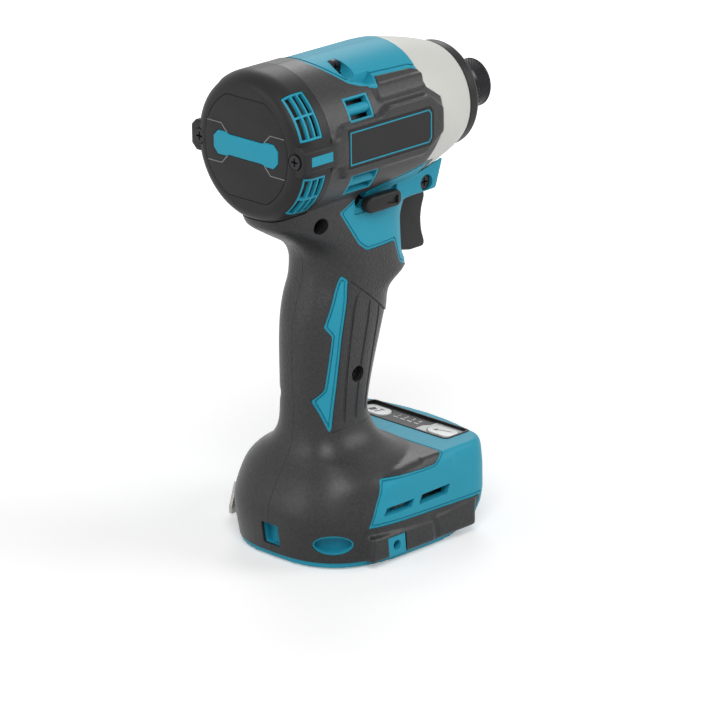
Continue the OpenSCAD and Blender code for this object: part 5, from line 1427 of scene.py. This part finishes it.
@dataclass
class Nose:
    """The hammer case, the bumper on it and the bit sleeve."""

    case_shares: Rows = Clamshell.case_shares
    case_x: float = 48.3
    start_x: float = 58.5
    nose_x: float = 89.5
    root_x: float = 67.6
    root_r: float = 25.5
    bush_r: float = 10.0
    case_gap: float = 0.25
    case_bore: Sequence[Point] = ((0, 40), (21.4, 40), (21.4, 74.8), (17.5, 80.75), (10, 80.75), (10, 95),
                                  (0, 95))
    bumper_r: float = 21.3
    bumper_hole: float = 10.8
    bumper_soft: float = 1.9
    bumper_x: float = 89.65
    bumper_front: float = 94.9
    sleeve_r: float = 9.8
    sleeve_rear: Sequence[Point] = ((7.575, 93.0), (8.1, 93.0), (8.5, 93.4), (8.5, 104.7), (8.62, 105.1),
                                    (9.5, 106.0), (9.8, 106.35))
    sleeve_front: Sequence[Point] = ((9.8, 113.1), (9.62, 113.45), (9.3, 113.6), (8.9, 113.6), (8.6, 113.3),
                                     (8.6, 106.6), (6.55, 106.6), (6.55, 102.4), (7.575, 100.9))
    teeth: int = 44
    tooth_rows: int = 10
    tooth_x: float = 106.75
    tooth_run: float = 0.68
    tooth_depth: float = 0.35

    def case(self) -> bpy.types.Object:
        """Turns the hammer case and trims it to the housing's front edge.

        Returns:
            The solid, in millimetres.
        """
        run, hole, root = self.nose_x - self.start_x, self.bush_r, self.root_x
        rows = [(self.start_x + run * x, BARREL_R * r) for r, x in self.case_shares]
        outer = [(smooth_at(x, rows), x) for x in (self.start_x + run * i / 60 for i in range(61))]
        outer[-1] = (outer[-1][0] - 0.5, outer[-1][1])
        section = [(hole, self.start_x), *outer, (hole, self.nose_x)]
        front = Shaper().lathe(section, 144).solid("hammer_case_skin")
        edge = [(x + self.case_gap, z) for x, z in Clamshell.front_cut]
        keep = Shaper().prism(edge, -REACH, REACH).solid("case_keep")
        Bench.work(keep, Cut.JOIN, Shaper().block((root, -REACH, 100), (120, REACH, 240)))
        Bench.apply(front, Cut.KEEP, keep)
        Bench.work(front, Cut.JOIN, Shaper().lathe([(hole, self.case_x), (self.root_r, self.case_x),
                                                    (self.root_r, root), (hole, root)]))
        return Bench.work(front, Cut.TAKE, Shaper().lathe(self.case_bore, closed=False))

    def bumper(self) -> bpy.types.Object:
        """Turns the nose bumper with its soft front edge.

        Returns:
            The solid, in millimetres.
        """
        r, soft, rear, front = self.bumper_r, self.bumper_soft, self.bumper_x, self.bumper_front
        lip = [(r - soft + soft * math.cos(t), front - soft + soft * math.sin(t))
               for t in (math.pi / 2 * i / 8 for i in range(9))]
        section = [(self.bumper_hole, rear), (r - 0.25, rear), (r, rear + 0.25), *lip, (15.2, front),
                   (14.6, front - 0.5), (12.6, front - 0.5), (self.bumper_hole, front - 1.4)]
        return Shaper().lathe(section, 120).solid("nose_bumper_skin")

    def build(self) -> None:
        """Shapes and dresses the nose pieces."""
        finish_piece(self.case(), CASE, "body", ["hammer_case"], 28)
        finish_piece(self.bumper(), BLACK, "body", ["nose_bumper"])
        finish_piece(self.sleeve(), KNURL, "sleeve", ["bit_sleeve"], 24)

    def sleeve(self) -> bpy.types.Object:
        """Turns the bit sleeve and cuts a diamond knurl into its band.

        Returns:
            The solid, in millimetres.
        """
        band = [(self.sleeve_r, self.tooth_x + self.tooth_run * i) for i in range(self.tooth_rows)]
        shape = Shaper().lathe([*self.sleeve_rear, *band, *self.sleeve_front], 2 * self.teeth)
        low = [vert for vert in shape.bm.verts if self.between_teeth(vert.co)]
        sink = 1 - self.tooth_depth / self.sleeve_r
        bmesh.ops.scale(shape.bm, vec=(1, sink, sink), space=Matrix.Translation((0, 0, -AXIS_Z)), verts=low)
        bmesh.ops.connect_verts(shape.bm, verts=low)
        return shape.solid("bit_sleeve_skin")

    def between_teeth(self, spot: Vector) -> bool:
        """Tells whether a point of the sleeve lies in the knurl's grooves.

        Args:
            spot: The point.

        Returns:
            Whether it is every second point of the band's rows.
        """
        row = (spot.x - self.tooth_x) / self.tooth_run
        turn = round(math.atan2(spot.z - AXIS_Z, spot.y) * self.teeth / math.pi)
        on_band = math.hypot(spot.y, spot.z - AXIS_Z) > self.sleeve_r - 0.01
        on_row = abs(row - round(row)) < 0.01 and 0 <= round(row) < self.tooth_rows
        return on_band and on_row and (round(row) + turn) % 2 == 1


@dataclass
class HandControls:
    """The trigger and the direction lever."""

    trigger_back: float = 47.75
    trigger_len: float = 29.7
    trigger_z: float = 112.0
    trigger_h: float = 22.5
    trigger_hw: float = 8.0
    trigger_face: Rows = ((0.0, 0.972), (0.1, 0.985), (0.3, 0.94), (0.55, 0.925), (0.75, 0.95), (0.92, 0.993),
                          (1.0, 0.985))
    lip_h: float = 2.8
    stem_r: float = 2.4
    lever_x: float = 41.0
    lever_len: float = 19.0
    lever_z: float = 141.3
    lever_h: float = 6.6
    lever_hw: float = 21.6
    arm_hh: float = 1.6
    arm_front: float = 45.75
    eye_r: float = 4.0
    pad_t: float = 4.2
    pad_corner: float = 1.6
    pivot_x: float = 28.5
    pivot_r: float = 2.05

    def trigger(self) -> bpy.types.Object:
        """Shapes the trigger with its hollow front.

        Returns:
            The solid, in millimetres.
        """
        back, foot = self.trigger_back, self.trigger_z
        face = [(smooth_at(i / 20, self.trigger_face), i / 20) for i in range(21)]
        shares = [(0, 0.08), (0.42, 0.08), (0.72, 0), *face, (0, 1)]
        outline = [(back + self.trigger_len * x, foot + self.trigger_h * z) for x, z in shares]
        top, peak = foot + self.trigger_h, back + self.trigger_len * face[-1][0]
        outline[-1:] = [(peak + 0.3, top + self.lip_h), (64.5, top + self.lip_h), (63.5, top), outline[-1]]
        blade = Shaper().prism(outline, -self.trigger_hw, self.trigger_hw).solid("trigger_skin")
        edge_bevel(blade, 1.3, 4, 50)
        stem = Shaper().rod((back - 6, 0, foot + self.trigger_h * 0.62), self.stem_r, 7, Along.X)
        return Bench.work(blade, Cut.JOIN, stem)

    def lever(self) -> bpy.types.Object:
        """Shapes the lever: two finger pads on one arm.

        Returns:
            The solid, in millimetres.
        """
        z, half, soft = self.lever_z, self.lever_h / 2, self.pad_corner
        low, high = z - self.arm_hh, z + self.arm_hh
        back, front = self.lever_x - self.lever_len / 2, self.lever_x + self.lever_len / 2
        eye = [*arc((self.pivot_x, 0), self.eye_r, 90, 270, 18), (self.arm_front, -self.eye_r),
               (self.arm_front, self.eye_r)]
        whole = Shaper().prism(eye, low, high, Along.Z).solid("direction_lever_skin")
        Bench.work(whole, Cut.JOIN, Shaper().block((37.8, -18.3, low), (self.arm_front, 18.3, high)))
        outline = [*arc((back + half, z), half, 90, 270, 12), (front - soft, z - half),
                   (front, z - half + soft), (front, z + half - soft), (front - soft, z + half)]
        arrow = [(front - 8.6, z - 0.9), (front - 2.2, z - 1.9), (front - 2.2, z + 1.7)]
        for side in Side:
            s, face = side.value, self.lever_hw
            pad = Shaper().prism(outline, s * (face - self.pad_t), s * face).solid("pad")
            edge_bevel(pad, 0.9, 3, 30)
            Bench.work(pad, Cut.TAKE, Shaper().prism(arrow, s * (face - 1.0), s * (face + 2)))
            Bench.apply(whole, Cut.JOIN, pad)
        return Bench.work(whole, Cut.TAKE, Shaper().rod((self.pivot_x, 0, z - 5), self.pivot_r, 10, Along.Z))

    def build(self) -> None:
        """Shapes and dresses both controls."""
        finish_piece(self.trigger(), BLACK, "trigger", ["trigger"])
        finish_piece(self.lever(), BLACK, "lever", ["direction_lever"])


@dataclass
class ModePanel:
    """The panel on the foot's deck with its two buttons and number row."""

    low_x: float = 68.15
    high_x: float = 82.65
    half: float = 27.25
    low_z: float = 34.9
    top_z: float = 36.8
    frame: float = 0.9
    frame_z: float = 37.9
    button_x: float = 75.4
    button_y: float = 18.6
    button_top: float = 37.2
    button_foot: float = 33.25
    button_hl: float = 7.2
    button_hw: float = 4.0
    button_gap: float = 0.25
    number_rows: Sequence[float] = (7.5, 3.7, -0.1, -3.9)
    number_x: float = 76.7
    number_size: float = 3.0
    bar_x: Point = (75.0, 75.55)
    bar_half: float = 1.2
    silver: Sequence[Point] = ((69.2, -26.2), (81.5, -26.2), (81.5, -9.6), (77.5, -9.6), (75.4, -7.6),
                               (69.2, -7.6))
    mode_mark: Sequence[Sequence[Point]] = (
        ((-4.2, -0.9), (-3.5, -1.5), (-2.6, -0.7), (-2.9, -0.3)),
        ((-3.0, -0.75), (3.3, 1.0), (3.9, 1.35), (3.2, 1.4), (-3.2, -0.35)),
        ((-3.6, 0.35), (-3.1, 0.5), (-2.2, -1.5), (-2.7, -1.6)))
    light_mark: Sequence[Sequence[Point]] = (
        ((-3.6, -1.3), (-1.0, -2.1), (0.4, 0.4), (-2.2, 1.5)),
        ((0.6, -2.0), (1.4, -2.2), (2.6, 0.2), (2.0, 0.5)),
        ((1.0, 1.0), (2.8, 0.9), (3.6, 1.6), (1.2, 1.9)))

    def button_outline(self, y: float, grow: float) -> list[Point]:
        """The long round outline of a button at a place across the panel, widened by a distance."""
        x, r, run = self.button_x, self.button_hw + grow, self.button_hl - self.button_hw
        return [*arc((x, y + run), r, 0, 180, 20), *arc((x, y - run), r, 180, 360, 20)]

    def button_hole(self, y: float) -> Shaper:
        """Draws the hole of a button through the panel."""
        return Shaper().prism(self.button_outline(y, self.button_gap), 30, 40, Along.Z)

    def flat(self, name: str, outlines: Sequence[Sequence[Point]], top: float) -> bpy.types.Object:
        """Lays thin printed shapes on a level.

        Args:
            name: Name of the piece.
            outlines: Their outlines.
            top: The level that they lie on.

        Returns:
            The solid, in millimetres.
        """
        shape = Shaper()
        for outline in outlines:
            shape.prism(outline, top - 0.05, top + 0.03, Along.Z)
        return shape.solid(name)

    def numbers(self) -> bpy.types.Object:
        """Sets the numbers 1 to 4 and the bars below them.

        Returns:
            The solid, in millimetres.
        """
        (low, high), half = self.bar_x, self.bar_half
        bars = [[(low, y - half), (high, y - half), (high, y + half), (low, y + half)]
                for y in self.number_rows]
        whole = self.flat("panel_numbers", bars, self.top_z)
        for i, y in enumerate(self.number_rows):
            text = bpy.data.curves.new("digit", "FONT")
            text.body = str(i + 1)
            text.size = self.number_size
            text.extrude = 0.03
            text.align_x = "CENTER"
            sign = bpy.data.objects.new("digit", text)
            bpy.context.scene.collection.objects.link(sign)
            mesh = bpy.data.meshes.new_from_object(sign.evaluated_get(bpy.context.evaluated_depsgraph_get()))
            bpy.data.objects.remove(sign)
            turn = Matrix(((0, 1, 0, self.number_x), (-1, 0, 0, y), (0, 0, 1, self.top_z), (0, 0, 0, 1)))
            mesh.transform(turn)
            merged = bmesh.new()
            merged.from_mesh(whole.data)
            merged.from_mesh(mesh)
            merged.to_mesh(whole.data)
            merged.free()
            bpy.data.meshes.remove(mesh)
        return whole

    def panel(self) -> bpy.types.Object:
        """Shapes the panel with its raised frame and the holes of the buttons.

        Returns:
            The solid, in millimetres.
        """
        low, high, half = self.low_x, self.high_x, self.half
        outline = [(low, -half), (high, -half), (high, half), (low, half)]
        panel = Shaper().prism(outline, self.low_z, self.frame_z, Along.Z, edge=0.3, soft=2.3)
        inside = Shaper().prism(inset_outline(outline, self.frame), self.top_z, 50, Along.Z, soft=1.6)
        return Bench.work(panel.solid("mode_panel_skin"), Cut.TAKE, inside, self.button_hole(-self.button_y),
                          self.button_hole(self.button_y))

    def build(self) -> None:
        """Shapes and dresses the panel, buttons and printed marks."""
        finish_piece(self.panel(), GLOSS, "body", ["mode_panel"])
        patch = self.flat("panel_patch", [self.silver], self.top_z)
        Bench.work(patch, Cut.TAKE, self.button_hole(-self.button_y))
        finish_piece(patch, SILVER, "body", [])
        finish_piece(self.numbers(), WHITE, "body", [])
        buttons = (("mode", -self.button_y, self.mode_mark), ("light", self.button_y, self.light_mark))
        for word, y, _ in buttons:
            cap = Shaper().prism(self.button_outline(y, 0), self.button_foot, self.button_top, Along.Z,
                                 edge=0.45)
            finish_piece(cap.solid(f"{word}_button_skin"), WHITE, f"{word}_button", [f"{word}_button"])
        # Marks are drawn as (right, up), as read from behind the tool.
        for word, y, drawn in buttons:
            marks = [[(self.button_x + up, y - right) for right, up in points] for points in drawn]
            finish_piece(self.flat(f"{word}_mark", marks, self.button_top), GLOSS, f"{word}_button", [])


@dataclass(frozen=True)
class Coil:
    """One spring.

    It has a node, the body it rides on, the joint that closes it, the place of its fixed end and the
    share of its length that is left when it is closed.
    """

    node: str
    body: str
    joint: str
    fixed_x: float
    keep: float


@dataclass
class Springs:
    """The springs, copied from the frame and dressed on their bodies."""

    hammer: Coil = Coil("hammer_spring", "spindle", "hammer_slide", 48.35, 0.65)
    sleeve: Coil = Coil("sleeve_spring", "anvil", "sleeve_slide", 111.85, 0.52)
    trigger: Coil = Coil("trigger_spring", "body", "trigger_pull", 41.05, 0.03)

    def build(self) -> None:
        """Copies each spring, merges its loose triangles and dresses it on its body."""
        for coil in (self.hammer, self.sleeve, self.trigger):
            wire = Bench.copy(frame["nodes"][coil.node], f"{coil.node}_coil")
            wire.data.transform(Matrix.Scale(1 / MM, 4))
            bm = bmesh.new()
            bm.from_mesh(wire.data)
            bmesh.ops.remove_doubles(bm, verts=bm.verts, dist=0.001)
            bm.to_mesh(wire.data)
            bm.free()
            finish_piece(wire, STEEL, coil.body, [coil.node])
            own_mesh(wire)


@dataclass
class Studio:
    """Camera, lights, floor and world."""

    lens: float = 250.0
    azimuth: float = -45.0
    elevation: float = 19.3
    roll: float = -0.7
    anchor: Spot = (-12.0, 0.0, 170.0)
    pixel: Point = (246.05, 149.25)
    scale: float = 2.63
    image: int = 720
    sensor: float = 36.0
    aim: Spot = (0.035, 0.0, 0.1)
    lamps: Sequence[tuple[str, Spot, float, float]] = (
        ("key", (-0.75, -0.75, 1.15), 0.8, 11.0), ("fill", (0.85, -0.95, 0.75), 0.8, 6.2),
        ("rim", (0.9, 0.8, 1.0), 0.7, 4.5), ("back", (-1.1, 0.45, 0.5), 0.7, 3.0))

    def build(self) -> None:
        """Sets up the whole studio."""
        self.camera()
        self.lights()
        self.floor()
        self.world()
        bpy.context.scene.view_settings.view_transform = "Standard"

    def camera(self) -> None:
        """Places the camera where the photograph was taken from."""
        a, e, r = (math.radians(t) for t in (self.azimuth, self.elevation, self.roll))
        right = Vector((math.cos(a), math.sin(a), 0))
        back = Vector((math.sin(a) * math.cos(e), -math.cos(a) * math.cos(e), math.sin(e)))
        up = back.cross(right)
        right, up = right * math.cos(r) + up * math.sin(r), up * math.cos(r) - right * math.sin(r)
        focal = self.lens / self.sensor * self.image
        away = focal / self.scale
        u, v = ((p - self.image / 2) / focal * away for p in self.pixel)
        place = (Vector(self.anchor) - right * u + up * v + back * away) * MM
        data = bpy.data.cameras.new("camera")
        data.lens = self.lens
        data.sensor_width = self.sensor
        data.clip_end = 20
        cam = bpy.data.objects.new("camera", data)
        cam.matrix_world = Matrix.Translation(place) @ Matrix((right, up, back)).transposed().to_4x4()
        bpy.context.scene.collection.objects.link(cam)
        bpy.context.scene.camera = cam

    def lights(self) -> None:
        """Hangs the soft lamps."""
        for name, spot, size, power in self.lamps:
            data = bpy.data.lights.new(name, "AREA")
            data.shape = "DISK"
            data.size = size
            data.energy = power
            lamp = bpy.data.objects.new(name, data)
            aim = Vector(self.aim) - Vector(spot)
            lamp.matrix_world = Matrix.Translation(spot) @ aim.to_track_quat("-Z", "Y").to_matrix().to_4x4()
            bpy.context.scene.collection.objects.link(lamp)

    def floor(self) -> None:
        """Lays the pale floor that keeps the shadow."""
        bm = bmesh.new()
        bmesh.ops.create_grid(bm, x_segments=1, y_segments=1, size=4.0)
        mesh = bpy.data.meshes.new("floor")
        bm.to_mesh(mesh)
        bm.free()
        floor = bpy.data.objects.new("floor", mesh)
        floor.location.z = -0.0004
        bpy.context.scene.collection.objects.link(floor)
        mat = bpy.data.materials.new("floor")
        mat.use_nodes = True
        tree = mat.node_tree
        tree.nodes.clear()
        place = add_node(tree, "TexCoord", {}).outputs["Object"]
        reach = add_node(tree, "VectorMath", {0: place}, operation="LENGTH")
        fade = add_node(tree, "MapRange", {"Value": reach.outputs["Value"], "From Min": 0.08, "From Max": 0.6,
                                           "To Min": 0.34, "To Max": 0.8})
        glow = add_node(tree, "Emission", {"Color": fade.outputs["Result"],
                                           "Strength": self.seen_level(tree, 0.0, 1.0)})
        paint = add_node(tree, "BsdfDiffuse", {"Color": (0.82, 0.82, 0.82, 1)})
        both = add_node(tree, "AddShader", {0: paint.outputs[0], 1: glow.outputs[0]})
        add_node(tree, "OutputMaterial", {"Surface": both.outputs[0]})
        mesh.materials.append(mat)

    def world(self) -> None:
        """Fills the world with an even pale light."""
        world = bpy.data.worlds.new("studio")
        bpy.context.scene.world = world
        world.use_nodes = True
        tree = world.node_tree
        fill(tree, tree.nodes["Background"], {"Color": (1, 1, 1, 1),
                                              "Strength": self.seen_level(tree, 0.2, 1.0)})

    @staticmethod
    def seen_level(tree: bpy.types.NodeTree, unseen: float, seen: float) -> bpy.types.NodeSocket:
        """Gives a backdrop one strength where it is seen and another where it only lights.

        Args:
            tree: The node tree of the backdrop.
            unseen: Strength on the rays that light the object.
            seen: Strength on camera, glossy and transmission rays.

        Returns:
            The socket of the strength.
        """
        ray = add_node(tree, "LightPath", {}).outputs
        level = ray["Is Camera Ray"]
        for name in ("Is Glossy Ray", "Is Transmission Ray"):
            level = add_node(tree, "Math", {0: level, 1: ray[name]}, operation="MAXIMUM").outputs[0]
        span = add_node(tree, "MapRange", {"Value": level, "To Min": unseen, "To Max": seen})
        return span.outputs["Result"]


def dress_frame() -> None:
    """Gives every carried-over CAD node the finish of its material slot."""
    for part in frame["record"]["subparts"]:
        mesh = frame["nodes"][part["node"]].data
        mesh.materials.clear()
        mesh.materials.append(SLOT_FINISH[part["material_slot"]].build())


def main() -> None:
    """Builds every sub-assembly in order."""
    logging.basicConfig(level=logging.INFO, format="%(name)s: %(message)s")
    Studio().build()
    dress_frame()
    cover = RearCover()
    for assembly in (Clamshell(BodyForm()), NamePlates(), cover, VentGrilles(cover), HookInserts(), Nose(),
                     HandControls(), ModePanel(), Springs()):
        assembly.build()


if __name__ == "__main__":
    main()
